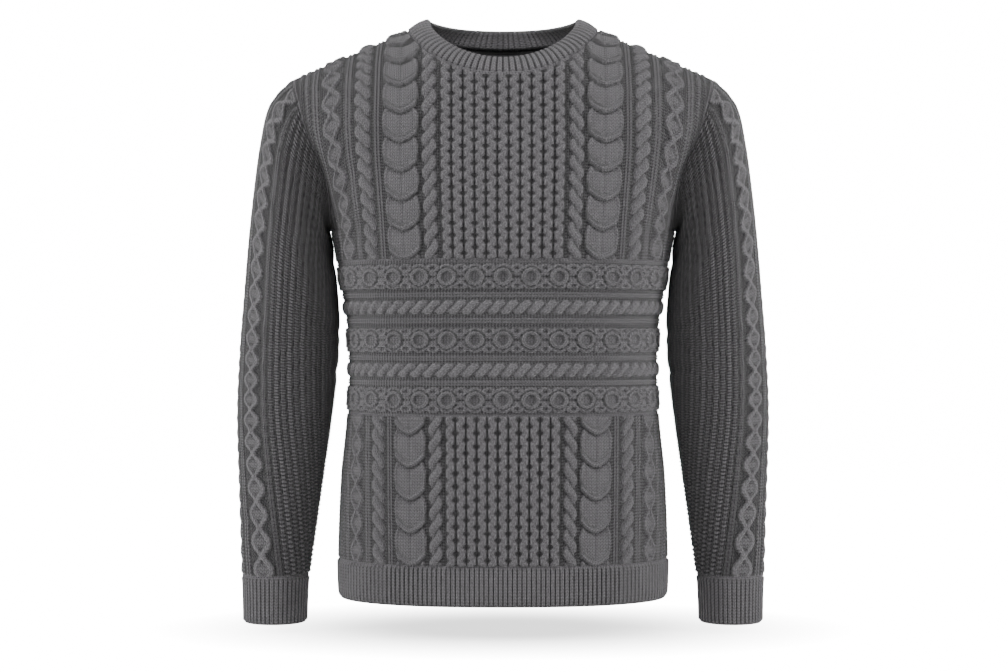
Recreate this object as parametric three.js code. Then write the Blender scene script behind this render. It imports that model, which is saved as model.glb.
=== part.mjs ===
import * as THREE from 'three';

// A crew neck cable knit sweater in its worn form, hollow. Millimetres, +Z up, the front faces -Y.
// Z = 0 lies at the high shoulder points, and X = 0 is the plane of symmetry.

// Driving dimensions
const wall = 2.6;
const seamGap = 0.3;
const bandTop = -272;
const bandBottom = -447;
const hemTop = -617;
const hemBottom = -662;
const underarmHeight = -235;
const neckHalfWidth = 112;
const neckFrontDrop = 62;
const neckBackDrop = 8;
const shoulderSlope = 0.42;
const shoulderTipX = 245;
const ridgeRise = 48;
const ridgeRisePower = 1.5;
const rollHeight = 110;
const rollPower = 1.7;
const sectionPower = 2.4;
const patternHalf = 150;
const tipHeight = -shoulderSlope * (shoulderTipX - neckHalfWidth);

// Horizontal sections of the body form; pattern is the width of the cable columns against the chest's
const bodySections = [
  { height: -662, halfSpan: 190.5, front: 116, back: 114, pattern: 0.9 },
  { height: -617, halfSpan: 191.6, front: 117, back: 117, pattern: 0.9 },
  { height: -523, halfSpan: 188.2, front: 116, back: 112, pattern: 0.91 },
  { height: -440, halfSpan: 180.6, front: 115, back: 103, pattern: 0.92 },
  { height: -353, halfSpan: 181.2, front: 119, back: 108, pattern: 0.93 },
  { height: -290, halfSpan: 190.6, front: 124, back: 117, pattern: 0.95 },
  { height: -235, halfSpan: 200, front: 125, back: 124, pattern: 0.97 },
  { height: -208, halfSpan: 207, front: 124, back: 125, pattern: 0.98 },
  { height: -180, halfSpan: 218, front: 121, back: 124, pattern: 0.99 },
  { height: -149, halfSpan: 235, front: 117, back: 121, pattern: 1 },
  { height: -120, halfSpan: 263, front: 112, back: 118, pattern: 1 },
  { height: -86, halfSpan: 304, front: 108, back: 114, pattern: 1 },
  { height: -62, halfSpan: 380, front: 105, back: 112, pattern: 1 },
  { height: 0, halfSpan: 500, front: 101, back: 109, pattern: 1 },
  { height: 60, halfSpan: 640, front: 98, back: 106, pattern: 1 },
];

// The armhole seam seen from the front
const armholeEdge = [
  { height: -235, x: 200 },
  { height: -208, x: 200 },
  { height: -184, x: 202 },
  { height: -168, x: 205.5 },
  { height: -149, x: 213 },
  { height: -120, x: 226 },
  { height: -100, x: 232.5 },
  { height: -84, x: 237 },
  { height: tipHeight, x: shoulderTipX },
];

// Sleeve rings from the armhole to the wrist: outer and inner point in the XZ plane, and half depth
const sleeveRings = [
  { along: 0, outerX: 245, outerZ: tipHeight, innerX: 200.6, innerZ: -234.4, depth: 56, forward: 0 },
  { along: 0.035, outerX: 260, outerZ: -69, innerX: 204.5, innerZ: -233.5, depth: 61, forward: 0 },
  { along: 0.08, outerX: 274, outerZ: -90, innerX: 207, innerZ: -238, depth: 65, forward: -1 },
  { along: 0.15, outerX: 283, outerZ: -130, innerX: 202.5, innerZ: -250, depth: 68, forward: -2 },
  { along: 0.23, outerX: 289.8, outerZ: -178, innerX: 199.8, innerZ: -274, depth: 69, forward: -3 },
  { along: 0.33, outerX: 296.4, outerZ: -240, innerX: 196, innerZ: -310, depth: 68, forward: -4 },
  { along: 0.44, outerX: 302.2, outerZ: -310, innerX: 194.5, innerZ: -352, depth: 65, forward: -5 },
  { along: 0.56, outerX: 307.4, outerZ: -378, innerX: 197.5, innerZ: -398, depth: 61, forward: -7 },
  { along: 0.7, outerX: 310, outerZ: -450, innerX: 204, innerZ: -455, depth: 56, forward: -9 },
  { along: 0.85, outerX: 307.4, outerZ: -535, innerX: 215, innerZ: -535, depth: 48, forward: -12 },
  { along: 1, outerX: 303.8, outerZ: -636, innerX: 229, innerZ: -636, depth: 37.5, forward: -15 },
];
const cuffRings = [
  { along: 0, outerX: 303.8, outerZ: -636.3, innerX: 229, innerZ: -636.3, depth: 37.5, forward: -15 },
  { along: 0.2, outerX: 302.7, outerZ: -648, innerX: 230.3, innerZ: -648, depth: 36, forward: -15.2 },
  { along: 1, outerX: 301.6, outerZ: -691.5, innerX: 232, innerZ: -691.5, depth: 34, forward: -16 },
];

// Collar rim, from the side of the neck
const rimHalfWidth = 86;
const rimSideHeight = 14.7;
const rimFront = { depth: 92, drop: 56.7, power: 1.2 };
const rimBack = { depth: 80, drop: 0, power: 1.2 };
const collarWall = 3.4;
const collarBulge = 2.5;
const armholeGap = 0.3;
const armholeInset = 1.9;
const collarGap = 1.2;

// Cable columns of the upright panels: distance from the centre line at chest scale, and their rise
const uprightColumns = [
  { kind: 'comb', from: 0, to: 70.8, rise: 3.2, across: 12.87, pitch: 13.6 },
  { kind: 'rope', from: 74.5, to: 91.5, rise: 4.2, pitch: 19 },
  { kind: 'scale', from: 95, to: 136, rise: 3.6, pitch: 36 },
  { kind: 'ridge', from: 139, to: 146, rise: 2 },
  { kind: 'rope', from: 149, to: 169, rise: 4.2, pitch: 19 },
  { kind: 'ridge', from: 173, to: 181, rise: 2 },
  { kind: 'chain', from: 184, to: 209, rise: 3.6, pitch: 31 },
  { kind: 'ridge', from: 213, to: 222, rise: 2 },
];

// Cable rows of the sideways band: distance below its upper edge
const bandRows = [
  { kind: 'chain', from: 5, to: 33, rise: 3.8, pitch: 31.3 },
  { kind: 'ridge', from: 36.5, to: 41.5, rise: 2.2 },
  { kind: 'rope', from: 45, to: 61, rise: 4.2, pitch: 14.6 },
  { kind: 'ridge', from: 65.5, to: 71, rise: 2.2 },
  { kind: 'chain', from: 76, to: 103.5, rise: 3.8, pitch: 31.3 },
  { kind: 'ridge', from: 108, to: 113, rise: 2.2 },
  { kind: 'rope', from: 116, to: 132, rise: 4.2, pitch: 14.6 },
  { kind: 'ridge', from: 136, to: 141, rise: 2.2 },
  { kind: 'chain', from: 144, to: 171, rise: 3.8, pitch: 31.3 },
];

// Cable columns of a sleeve: distance round the arm from its outer line
const sleeveColumns = [
  { kind: 'rope', from: -9, to: 9, rise: 2.2, pitch: 19 },
  { kind: 'ridge', from: 13, to: 34, rise: 1.6 },
  { kind: 'chain', from: 37.5, to: 62.5, rise: 3, pitch: 28 },
  { kind: 'ridge', from: 65, to: 71, rise: 1.6 },
];

// Grid lines of the walls
const upperNeckLines = [86, 97, 105.2, 110.3, neckHalfWidth];
const combLines = [0, 6.4, 12.9, 19.3, 25.7, 32.2, 38.6, 45, 51.5, 57.9, 64.3, 70.8];
const yokeLines = [...combLines, 75, 83, ...upperNeckLines, 126, 142];
const plainLines = [0, 24, 55, 83, 91.5, 105, 115.5, 126, 137, 149];
const backLines = [0, 13, 26, 39, 52, 66, 80, ...upperNeckLines, 126, 142];
const sideShares = [0.1, 0.25, 0.42, 0.6, 0.8, 1];
const bandDrops = [175, 171, 164, 158, 151, 144, 138.5, 132, 124, 116, 110.5, 103.5, 97, 90, 83, 76, 68,
  61, 53, 45, 39, 33, 26, 19, 12, 5];
const labelHalfWidth = 24;
const labelRows = [0.915, 0.985];
const labelThickness = 0.9;

const materials = {
  knit: { color: 0x6a686b, roughness: 0.95, metalness: 0 },
  rib: { color: 0x625f63, roughness: 0.95, metalness: 0 },
  label: { color: 0x232326, roughness: 0.8, metalness: 0 },
};

// Smooth value of a named column at a place in a table sorted by its key
function tableValue(table, key, at, column) {
  const rows = table[0][key] < table[table.length - 1][key] ? table : [...table].reverse();
  const last = rows.length - 1;
  let i = 0;
  while (i < last - 1 && at > rows[i + 1][key]) i += 1;
  const slope = (k) => {
    const low = Math.max(0, k - 1);
    const high = Math.min(last, k + 1);
    return (rows[high][column] - rows[low][column]) / (rows[high][key] - rows[low][key]);
  };
  const span = rows[i + 1][key] - rows[i][key];
  const t = Math.min(1, Math.max(0, (at - rows[i][key]) / span));
  const bend = (2 * t - 3) * t * t;
  return rows[i][column] * (1 + bend) - rows[i + 1][column] * bend
    + span * t * (1 - t) * (slope(i) * (1 - t) - slope(i + 1) * t);
}

// Height of the shoulder ridge at a distance from the centre plane
function ridgeHeight(x) {
  const out = Math.abs(x);
  if (out >= neckHalfWidth) return -shoulderSlope * (out - neckHalfWidth);
  return ridgeRise * (1 - (out / neckHalfWidth) ** ridgeRisePower);
}

// Share of a panel's full depth reached at a drop below the ridge
function rollShare(drop) {
  const left = Math.min(1, Math.max(0, 1 - drop / rollHeight));
  return (1 - left ** rollPower) ** (1 / rollPower);
}

function neckHeight(side, x) {
  const share = Math.min(1, Math.abs(x) / neckHalfWidth);
  if (side < 0) return -neckFrontDrop * (1 - share ** 2.4) ** 0.8;
  return -neckBackDrop * (1 - share ** 2);
}

// Half section at a height as points from the centre to the side, with the length run so far
function sectionArc(side, height) {
  const span = tableValue(bodySections, 'height', height, 'halfSpan');
  const depth = tableValue(bodySections, 'height', height, side < 0 ? 'front' : 'back');
  const steps = 40;
  const points = [{ x: 0, y: depth, run: 0 }];
  for (let i = 1; i <= steps; i += 1) {
    const turn = (i / steps) * Math.PI / 2;
    const x = span * Math.sin(turn) ** (2 / sectionPower);
    const y = depth * Math.max(0, Math.cos(turn)) ** (2 / sectionPower);
    const before = points[i - 1];
    points.push({ x, y, run: before.run + Math.hypot(x - before.x, y - before.y) });
  }
  return points;
}

function alongArc(arc, key, value) {
  let i = 0;
  while (i < arc.length - 2 && value > arc[i + 1][key]) i += 1;
  const span = arc[i + 1][key] - arc[i][key];
  const t = Math.min(1, Math.max(0, (value - arc[i][key]) / span));
  const mix = (name) => arc[i][name] + (arc[i + 1][name] - arc[i][name]) * t;
  return { x: mix('x'), y: mix('y'), run: mix('run') };
}

// Point of the body form at a flat distance from the centre line
function bodyPoint(side, flat, height) {
  const arc = sectionArc(side, height);
  const at = alongArc(arc, 'run', Math.abs(flat));
  const depth = at.y * rollShare(ridgeHeight(at.x) - height);
  return new THREE.Vector3(Math.sign(flat) * at.x, side * depth, height);
}

// Outward normal of the body form, level or upright where the form is cut by a plane seam
function formNormal(side, flat, height) {
  const step = 0.2;
  const point = bodyPoint(side, flat, height);
  const inward = bodyPoint(side, flat - Math.sign(flat || 1) * step, height).sub(point);
  const down = bodyPoint(side, flat, height - step).sub(point);
  const normal = inward.cross(down).normalize();
  if (Math.abs(point.y) < 1) normal.setY(0).normalize();
  return normal.dot(new THREE.Vector3(point.x, point.y, 40)) < 0 ? normal.negate() : normal;
}

// Flat distance from the centre line to the side seam or the armhole
function edgeFlat(side, height) {
  const arc = sectionArc(side, height);
  if (height <= underarmHeight) return arc[arc.length - 1].run;
  return alongArc(arc, 'x', tableValue(armholeEdge, 'height', height, 'x')).run;
}

// Flat distance of a grid line: fixed over the cables, stretched to the panel's edge outside them
function lineFlat(side, line, height) {
  const scale = tableValue(bodySections, 'height', height, 'pattern');
  const out = Math.abs(line);
  if (out <= patternHalf) return line * scale;
  const share = (out - patternHalf) / patternHalf;
  const edge = edgeFlat(side, height);
  return Math.sign(line) * (patternHalf * scale + share * (edge - patternHalf * scale));
}

// Places on an upright panel that runs up to the shoulders and the neck
function upperPanel(side, bottom) {
  return (line, up) => {
    const out = Math.abs(line);
    const share = Math.max(0, (out - patternHalf) / patternHalf);
    const topX = out <= patternHalf ? out : patternHalf + share * (shoulderTipX - patternHalf);
    const top = topX < neckHalfWidth ? neckHeight(side, topX) : ridgeHeight(topX);
    const left = 1 - up;
    const fall = 1.15 * left ** 1.65 / (left ** 0.65 + 0.15);
    const height = top - (top - bottom) * fall;
    return { flat: lineFlat(side, line, height), height };
  };
}

// Places on an upright panel between two level seams
function levelPanel(side, bottom, top) {
  return (line, up) => {
    const height = bottom + (top - bottom) * up;
    return { flat: lineFlat(side, line, height), height };
  };
}

// Point of an arm ring: turn is 0 on the outer line, a quarter at the front and a half at the inner line
function armPoint(rings, turn, along) {
  const pick = (column) => tableValue(rings, 'along', along, column);
  const outer = new THREE.Vector3(pick('outerX'), pick('forward'), pick('outerZ'));
  const inner = new THREE.Vector3(pick('innerX'), pick('forward'), pick('innerZ'));
  const angle = turn * 2 * Math.PI;
  const point = outer.clone().add(inner).multiplyScalar(0.5);
  point.addScaledVector(outer.sub(inner), 0.5 * Math.cos(angle));
  point.y -= pick('depth') * Math.sin(angle);
  return point;
}

// Place on the armhole seam: turn runs as on a sleeve ring
function armholePlace(turn) {
  const angle = turn * 2 * Math.PI;
  const side = Math.sin(angle) > 0 ? -1 : 1;
  const middle = (tipHeight + underarmHeight) / 2;
  const height = middle + (tipHeight - middle) * Math.cos(angle);
  return { side, flat: edgeFlat(side, height), height, middle };
}

function armholePoint(turn) {
  const { side, flat, height, middle } = armholePlace(turn);
  const point = bodyPoint(side, flat, height);
  const inward = new THREE.Vector3(0, -point.y, middle - point.z).normalize();
  return point.addScaledVector(inward, armholeInset).setX(point.x + armholeGap);
}

function sleeveSurface(turn, along) {
  const ring = armPoint(sleeveRings, turn, along);
  const reach = Math.max(0, 1 - along / 0.22);
  if (reach === 0) return ring;
  const pull = armholePoint(turn).sub(armPoint(sleeveRings, turn, 0));
  return ring.addScaledVector(pull, reach * reach * (3 - 2 * reach));
}

// Place on the neck seam: round is 0 at the left side of the neck, a quarter at the front
function neckPlace(round) {
  const angle = round * 2 * Math.PI;
  const side = Math.sin(angle) > 0 ? -1 : 1;
  const x = neckHalfWidth * Math.cos(angle);
  return { angle, side, x, height: neckHeight(side, x) };
}

function collarSurface(round, up) {
  const { angle, side, x, height } = neckPlace(round);
  const base = bodyPoint(side, x, height);
  const shape = side < 0 ? rimFront : rimBack;
  const lean = Math.abs(Math.sin(angle));
  const rimZ = rimSideHeight - shape.drop * lean ** shape.power;
  const rim = new THREE.Vector3(rimHalfWidth * Math.cos(angle), side * shape.depth * lean, rimZ);
  const toward = rim.clone().sub(base);
  const start = collarGap / toward.length();
  const point = base.addScaledVector(toward, start + (1 - start) * up);
  point.z += collarBulge * Math.sin(Math.PI * up);
  return point;
}

// Heights of the cables over the ground of the knit
function cableRise(cable, across, along) {
  const crown = Math.sqrt(Math.max(0, Math.sin(Math.PI * across)));
  const beat = (2 * Math.PI * along) / (cable.pitch || 1);
  if (cable.kind === 'rope') return cable.rise * crown * (0.82 + 0.18 * Math.cos(beat));
  if (cable.kind === 'chain') return cable.rise * crown * (0.75 + 0.25 * Math.cos(beat));
  if (cable.kind === 'scale') return cable.rise * crown * (0.85 + 0.15 * Math.cos(beat));
  return cable.rise * crown;
}

function columnRise(columns, place, along) {
  for (const cable of columns) {
    if (place < cable.from || place > cable.to) continue;
    if (cable.kind === 'comb') return cable.rise * (0.6 + 0.4 * Math.cos((2 * Math.PI * place) / cable.across));
    return cableRise(cable, (place - cable.from) / (cable.to - cable.from), along);
  }
  return 0;
}

const smoothEdge = (gap) => Math.min(1, Math.max(0, gap / 4));

// Outward unit normal of a tube, kept level where a level seam cuts it
function tubeNormal(surface, turn, along, level, rowsGoUp) {
  const step = 1e-3;
  const across = surface(turn + step, along).sub(surface(turn - step, along));
  const low = Math.max(0, along - step);
  const high = Math.min(1, along + step);
  const normal = surface(turn, high).sub(surface(turn, low)).cross(across);
  if (!rowsGoUp) normal.negate();
  if (level) normal.setZ(0);
  return normal.normalize();
}

function addVertex(store, point) {
  store.push(point.x, point.y, point.z);
  return store.length / 3 - 1;
}

// Strip of triangles between two rows of vertices whose places run from 0 to 1
function zipRows(indices, first, second) {
  let i = 0;
  let j = 0;
  while (i < first.length - 1 || j < second.length - 1) {
    const nextFirst = i < first.length - 1 ? first[i + 1].place : Infinity;
    const nextSecond = j < second.length - 1 ? second[j + 1].place : Infinity;
    if (nextFirst <= nextSecond) {
      indices.push(first[i + 1].id, first[i].id, second[j].id);
      i += 1;
    } else {
      indices.push(second[j].id, second[j + 1].id, first[i].id);
      j += 1;
    }
  }
}

function gridIndices(indices, grid, turned) {
  for (let i = 0; i < grid.length - 1; i += 1) {
    for (let j = 0; j < grid[0].length - 1; j += 1) {
      const [p, q, r, s] = [grid[i][j], grid[i + 1][j], grid[i + 1][j + 1], grid[i][j + 1]];
      if (turned) indices.push(p.id, r.id, q.id, p.id, s.id, r.id);
      else indices.push(p.id, q.id, r.id, p.id, r.id, s.id);
    }
  }
}

// The four sides of a grid in running order, each with places from 0 to 1
function gridSides(grid) {
  const bottom = grid.map((column) => column[0]);
  const right = grid[grid.length - 1];
  const top = grid.map((column) => column[column.length - 1]).reverse();
  const left = [...grid[0]].reverse();
  return [bottom, right, top, left].map((side) => {
    const key = side[0].a === side[side.length - 1].a ? 'b' : 'a';
    const start = side[0][key];
    const span = side[side.length - 1][key] - start;
    return side.map((node) => ({ id: node.id, place: (node[key] - start) / span, a: node.a, b: node.b }));
  });
}

function closedGeometry(positions, indices) {
  const geometry = new THREE.BufferGeometry();
  geometry.setAttribute('position', new THREE.Float32BufferAttribute(positions, 3));
  let volume = 0;
  const corner = (k) => new THREE.Vector3().fromArray(positions, 3 * k);
  for (let t = 0; t < indices.length; t += 3) {
    volume += corner(indices[t]).dot(corner(indices[t + 1]).cross(corner(indices[t + 2])));
  }
  const ordered = [...indices];
  if (volume < 0) {
    for (let t = 0; t < ordered.length; t += 3) [ordered[t + 1], ordered[t + 2]] = [ordered[t + 2], ordered[t + 1]];
  }
  geometry.setIndex(ordered);
  geometry.computeVertexNormals();
  return geometry;
}

function evenly(from, to, count) {
  return Array.from({ length: count + 1 }, (unused, i) => from + ((to - from) * i) / count);
}

// Rows of the upright panels, closer together above the underarm, where the armhole turns fastest
const yokeRows = [0, 0.085, 0.1655, 0.178, 0.195, 0.225, 0.28, ...evenly(0.34, 1, 12)];
const backRows = [...evenly(0, 0.6505, 13), 0.6555, 0.6625, 0.675, 0.7, ...evenly(0.73, 1, 10)];

// A knitted wall: a raised outer grid over a plain inner grid, closed along its edges
function panelGeometry({ form, lines, rows, innerLines, innerRows, rise, thickness }) {
  const positions = [];
  const indices = [];
  const ends = [lines[0], lines[lines.length - 1]];
  const rowEnds = [rows[0], rows[rows.length - 1]];
  const place = (a, b, lift) => addVertex(positions, form.point(a, b).addScaledVector(form.normal(a, b), lift));
  const outer = lines.map((a) => {
    let run = 0;
    let before = form.point(a, rows[0]);
    return rows.map((b) => {
      const point = form.point(a, b);
      run += point.distanceTo(before);
      before = point;
      const edge = ends.includes(a) || rowEnds.includes(b);
      return { a, b, id: place(a, b, edge ? 0 : rise(a, b, run, point)) };
    });
  });
  const inner = innerLines.map((a) => innerRows.map((b) => ({ a, b, id: place(a, b, -thickness) })));
  gridIndices(indices, outer, false);
  gridIndices(indices, inner, true);
  const innerSides = gridSides(inner);
  const rims = gridSides(outer);
  const rimInner = new Map();
  rims.forEach((side, k) => {
    const below = side.map((node) => {
      const key = `${node.a},${node.b}`;
      if (!rimInner.has(key)) rimInner.set(key, place(node.a, node.b, -thickness));
      return { ...node, id: rimInner.get(key) };
    });
    zipRows(indices, side, below);
    zipRows(indices, below, innerSides[k]);
  });
  return closedGeometry(positions, indices);
}

// A tube open at both ends, with its outer rings raised and its inner rings plain
function tubeGeometry(tube) {
  const { surface, turns, rows, innerTurns, innerRows, rise, levelAt, thickness, startNormal, rowsGoUp } = tube;
  const positions = [];
  const indices = [];
  const normalAt = (a, b) => {
    if (startNormal && b === rows[0]) return startNormal(a);
    return tubeNormal(surface, a, b, levelAt(b), rowsGoUp);
  };
  const place = (a, b, lift) => addVertex(positions, surface(a, b).addScaledVector(normalAt(a, b), lift));
  const ring = (count, b, lift) => {
    const nodes = [];
    for (let i = 0; i < count; i += 1) {
      const a = i / count;
      nodes.push({ a, b, place: a, id: place(a, b, lift(a, b)) });
    }
    nodes.push({ ...nodes[0], a: 1, place: 1 });
    return nodes;
  };
  const flat = () => 0;
  const sunk = () => -thickness;
  const ends = [rows[0], rows[rows.length - 1]];
  const outerRings = rows.map((b) => ring(turns, b, ends.includes(b) ? flat : rise));
  const innerRings = innerRows.map((b) => ring(innerTurns, b, sunk));
  const joined = (grid) => grid[0].map((unused, i) => grid.map((nodes) => nodes[i]));
  gridIndices(indices, joined(outerRings), false);
  gridIndices(indices, joined(innerRings), true);
  const startRim = ring(turns, ends[0], sunk);
  const endRim = ring(turns, ends[1], sunk);
  zipRows(indices, outerRings[0], startRim);
  zipRows(indices, startRim, innerRings[0]);
  zipRows(indices, innerRings[innerRings.length - 1], endRim);
  zipRows(indices, endRim, outerRings[outerRings.length - 1]);
  return closedGeometry(positions, indices);
}

// Grid lines mirrored about the centre line, with the outer ones stretched to the edge
function mirrored(lines, shares) {
  const half = [...lines, ...shares.map((share) => patternHalf * (1 + share))];
  return [...half.slice(1).reverse().map((line) => -line), ...half];
}

const group = new THREE.Group();

function addPiece(name, look, geometry) {
  const mesh = new THREE.Mesh(geometry, new THREE.MeshStandardMaterial(materials[look]));
  mesh.name = name;
  group.add(mesh);
}

function mirrorX(geometry) {
  const turned = geometry.clone();
  turned.scale(-1, 1, 1);
  const order = turned.getIndex();
  for (let t = 0; t < order.count; t += 3) {
    const held = order.getX(t + 1);
    order.setX(t + 1, order.getX(t + 2));
    order.setX(t + 2, held);
  }
  turned.computeVertexNormals();
  return turned;
}

// Rise of the upright cables: place is measured at chest scale, so that the columns narrow with the form
function uprightRise(side) {
  return (line, up, run, point) => {
    const scale = tableValue(bodySections, 'height', point.z, 'pattern');
    const flat = Math.abs(lineFlat(side, line, point.z)) / scale;
    return columnRise(uprightColumns, flat, run) + 0.4;
  };
}

// Front and back stand half a seam gap off the plane between them, and their level seams stay level
function seatedForm(side, placeAt, levelTop) {
  const point = (line, up) => {
    const { flat, height } = placeAt(line, up);
    return bodyPoint(side, flat, height).add(new THREE.Vector3(0, (side * seamGap) / 2, 0));
  };
  const normal = (line, up) => {
    const { flat, height } = placeAt(line, up);
    const outward = formNormal(side, flat, height);
    if (up <= 0 || (levelTop && up >= 1)) outward.setZ(0).normalize();
    return outward;
  };
  return { point, normal };
}

const edgeLine = patternHalf * 2;

function yoke() {
  return panelGeometry({
    form: seatedForm(-1, upperPanel(-1, bandTop + seamGap), false),
    lines: mirrored(yokeLines, sideShares),
    rows: yokeRows,
    innerLines: mirrored(plainLines, [0.4, 0.9]),
    innerRows: [0.04, 0.2, 0.36, 0.52, 0.68, 0.8, 0.9, 0.97],
    rise: uprightRise(-1),
    thickness: wall,
  });
}

const backForm = seatedForm(1, upperPanel(1, hemTop + seamGap), false);

function backPanel() {
  return panelGeometry({
    form: backForm,
    lines: mirrored(backLines, [0.2, 0.4, 0.6, 0.8, 1]),
    rows: backRows,
    innerLines: mirrored([0, 24, 55, 83, 105, 130], [0.3, 0.9]),
    innerRows: [0.02, 0.16, 0.3, 0.44, 0.56, 0.66, 0.75, 0.83, ...labelRows],
    rise: uprightRise(1),
    thickness: wall,
  });
}

function band() {
  return panelGeometry({
    form: seatedForm(-1, levelPanel(-1, bandBottom, bandTop), true),
    lines: mirrored(evenly(0, 141, 9), [0, 0.2, 0.4, 0.6, 0.8, 1]),
    rows: [...bandDrops.map((drop) => 1 - drop / (bandTop - bandBottom)), 1],
    innerLines: mirrored([0, 24, 55, 91.5, 126], [0.2, 0.5, 0.94]),
    innerRows: [0.03, 0.35, 0.65, 0.97],
    rise: (line, up) => columnRise(bandRows, (1 - up) * (bandTop - bandBottom), line) + 0.4,
    thickness: wall,
  });
}

function lowerPanel() {
  return panelGeometry({
    form: seatedForm(-1, levelPanel(-1, hemTop + seamGap, bandBottom - seamGap), true),
    lines: mirrored([...combLines, 75, 83, 91.5, 105, 115.5, 126, 142], sideShares),
    rows: evenly(0, 1, 11),
    innerLines: mirrored([0, 24, 55, 91.5, 126], [0.2, 0.5, 0.94]),
    innerRows: [0.03, 0.35, 0.65, 0.97],
    rise: uprightRise(-1),
    thickness: wall,
  });
}

function hem(side) {
  return panelGeometry({
    form: seatedForm(side, levelPanel(side, hemBottom, hemTop), true),
    lines: mirrored(evenly(0, 140, 8), [0, 0.15, 0.3, 0.45, 0.6, 0.75, 0.88, 1]),
    rows: [0, 0.06, 0.5, 0.94, 1],
    innerLines: mirrored([0, 24, 55, 91.5, 126], [0.2, 0.5, 0.94]),
    innerRows: [0.06, 0.94],
    rise: (line, up) => (up > 0.9 ? 0.8 : 1.2),
    thickness: wall,
  });
}

function sleeveRise(turn, along) {
  const point = sleeveSurface(turn, along);
  const next = sleeveSurface(turn + 0.02, along);
  const round = Math.min(turn, 1 - turn) * (point.distanceTo(next) / 0.02);
  const place = round < 9 ? -round : round;
  return (columnRise(sleeveColumns, place, along * 600) + 0.6) * smoothEdge(along * 200);
}

function sleeve() {
  return tubeGeometry({
    surface: sleeveSurface,
    rowsGoUp: false,
    turns: 30,
    rows: [0, 0.012, 0.035, 0.06, 0.09, 0.12, ...evenly(0.17, 1, 16)],
    innerTurns: 14,
    innerRows: [0.02, 0.05, 0.1, 0.18, 0.3, 0.42, 0.55, 0.7, 0.85, 0.99],
    rise: sleeveRise,
    levelAt: (along) => along >= 1,
    startNormal: (turn) => {
      const { side, flat, height } = armholePlace(turn);
      return formNormal(side, flat, height);
    },
    thickness: wall,
  });
}

function cuff() {
  return tubeGeometry({
    surface: (turn, along) => armPoint(cuffRings, turn, along),
    rowsGoUp: false,
    turns: 30,
    rows: [0, 0.05, 0.25, 0.95, 1],
    innerTurns: 14,
    innerRows: [0.05, 0.95],
    rise: () => 1,
    levelAt: () => true,
    thickness: wall,
  });
}

function collar() {
  return tubeGeometry({
    surface: collarSurface,
    rowsGoUp: true,
    turns: 60,
    rows: [0, 0.15, 0.85, 1],
    innerTurns: 60,
    innerRows: [0.15, 0.85],
    rise: () => 0.6,
    levelAt: () => false,
    startNormal: (round) => {
      const { side, x, height } = neckPlace(round);
      return formNormal(side, x, height);
    },
    thickness: collarWall,
  });
}

// The label lies on the inside of the back panel, over the same grid lines as that wall
function label() {
  const sunk = (line, up) => backForm.point(line, up)
    .addScaledVector(backForm.normal(line, up), -wall - seamGap);
  const lines = [-labelHalfWidth, 0, labelHalfWidth];
  return panelGeometry({
    form: { point: sunk, normal: backForm.normal },
    lines,
    rows: labelRows,
    innerLines: lines,
    innerRows: labelRows,
    rise: () => 0,
    thickness: labelThickness,
  });
}

addPiece('front_yoke', 'knit', yoke());
addPiece('front_band', 'knit', band());
addPiece('front_lower', 'knit', lowerPanel());
addPiece('back', 'knit', backPanel());
addPiece('sleeve_left', 'knit', sleeve());
addPiece('sleeve_right', 'knit', mirrorX(sleeve()));
addPiece('cuff_left', 'rib', cuff());
addPiece('cuff_right', 'rib', mirrorX(cuff()));
addPiece('collar', 'rib', collar());
addPiece('hem_front', 'rib', hem(-1));
addPiece('hem_back', 'rib', hem(1));
addPiece('neck_label', 'label', label());

export default group;
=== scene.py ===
import math
import bpy
import numpy as np
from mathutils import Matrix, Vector


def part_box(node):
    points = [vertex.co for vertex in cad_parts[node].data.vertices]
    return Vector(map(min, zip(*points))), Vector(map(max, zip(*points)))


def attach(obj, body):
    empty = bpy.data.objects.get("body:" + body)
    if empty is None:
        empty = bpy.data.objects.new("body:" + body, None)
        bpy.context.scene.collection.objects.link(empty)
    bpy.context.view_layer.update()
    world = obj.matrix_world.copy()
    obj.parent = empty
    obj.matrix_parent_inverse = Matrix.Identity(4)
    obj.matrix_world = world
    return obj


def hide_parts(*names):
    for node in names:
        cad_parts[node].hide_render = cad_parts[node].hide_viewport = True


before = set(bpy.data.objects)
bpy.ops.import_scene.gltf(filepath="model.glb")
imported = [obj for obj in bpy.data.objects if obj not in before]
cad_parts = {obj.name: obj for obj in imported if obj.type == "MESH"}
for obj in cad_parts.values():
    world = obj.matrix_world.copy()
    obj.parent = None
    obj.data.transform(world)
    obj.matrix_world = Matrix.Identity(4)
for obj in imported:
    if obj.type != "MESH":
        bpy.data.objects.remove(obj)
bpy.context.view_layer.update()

mm = 0.001


def boxOf(node):
    low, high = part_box(node)
    return np.array(low) / mm, np.array(high) / mm


# Lengths here are millimetres until a mesh is made. The levels come from the frame.
levels = {
    "bandTop": boxOf("front_band")[1][2],
    "bandBottom": boxOf("front_band")[0][2],
    "hemTop": boxOf("hem_front")[1][2],
    "hemBottom": boxOf("hem_front")[0][2],
    "yokeBottom": boxOf("front_yoke")[0][2],
    "lowerTop": boxOf("front_lower")[1][2],
    "lowerBottom": boxOf("front_lower")[0][2],
    "backBottom": boxOf("back")[0][2],
    "cuffTop": boxOf("cuff_left")[1][2],
    "cuffBottom": boxOf("cuff_left")[0][2],
    "sleeveBottom": boxOf("sleeve_left")[0][2],
}

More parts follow.
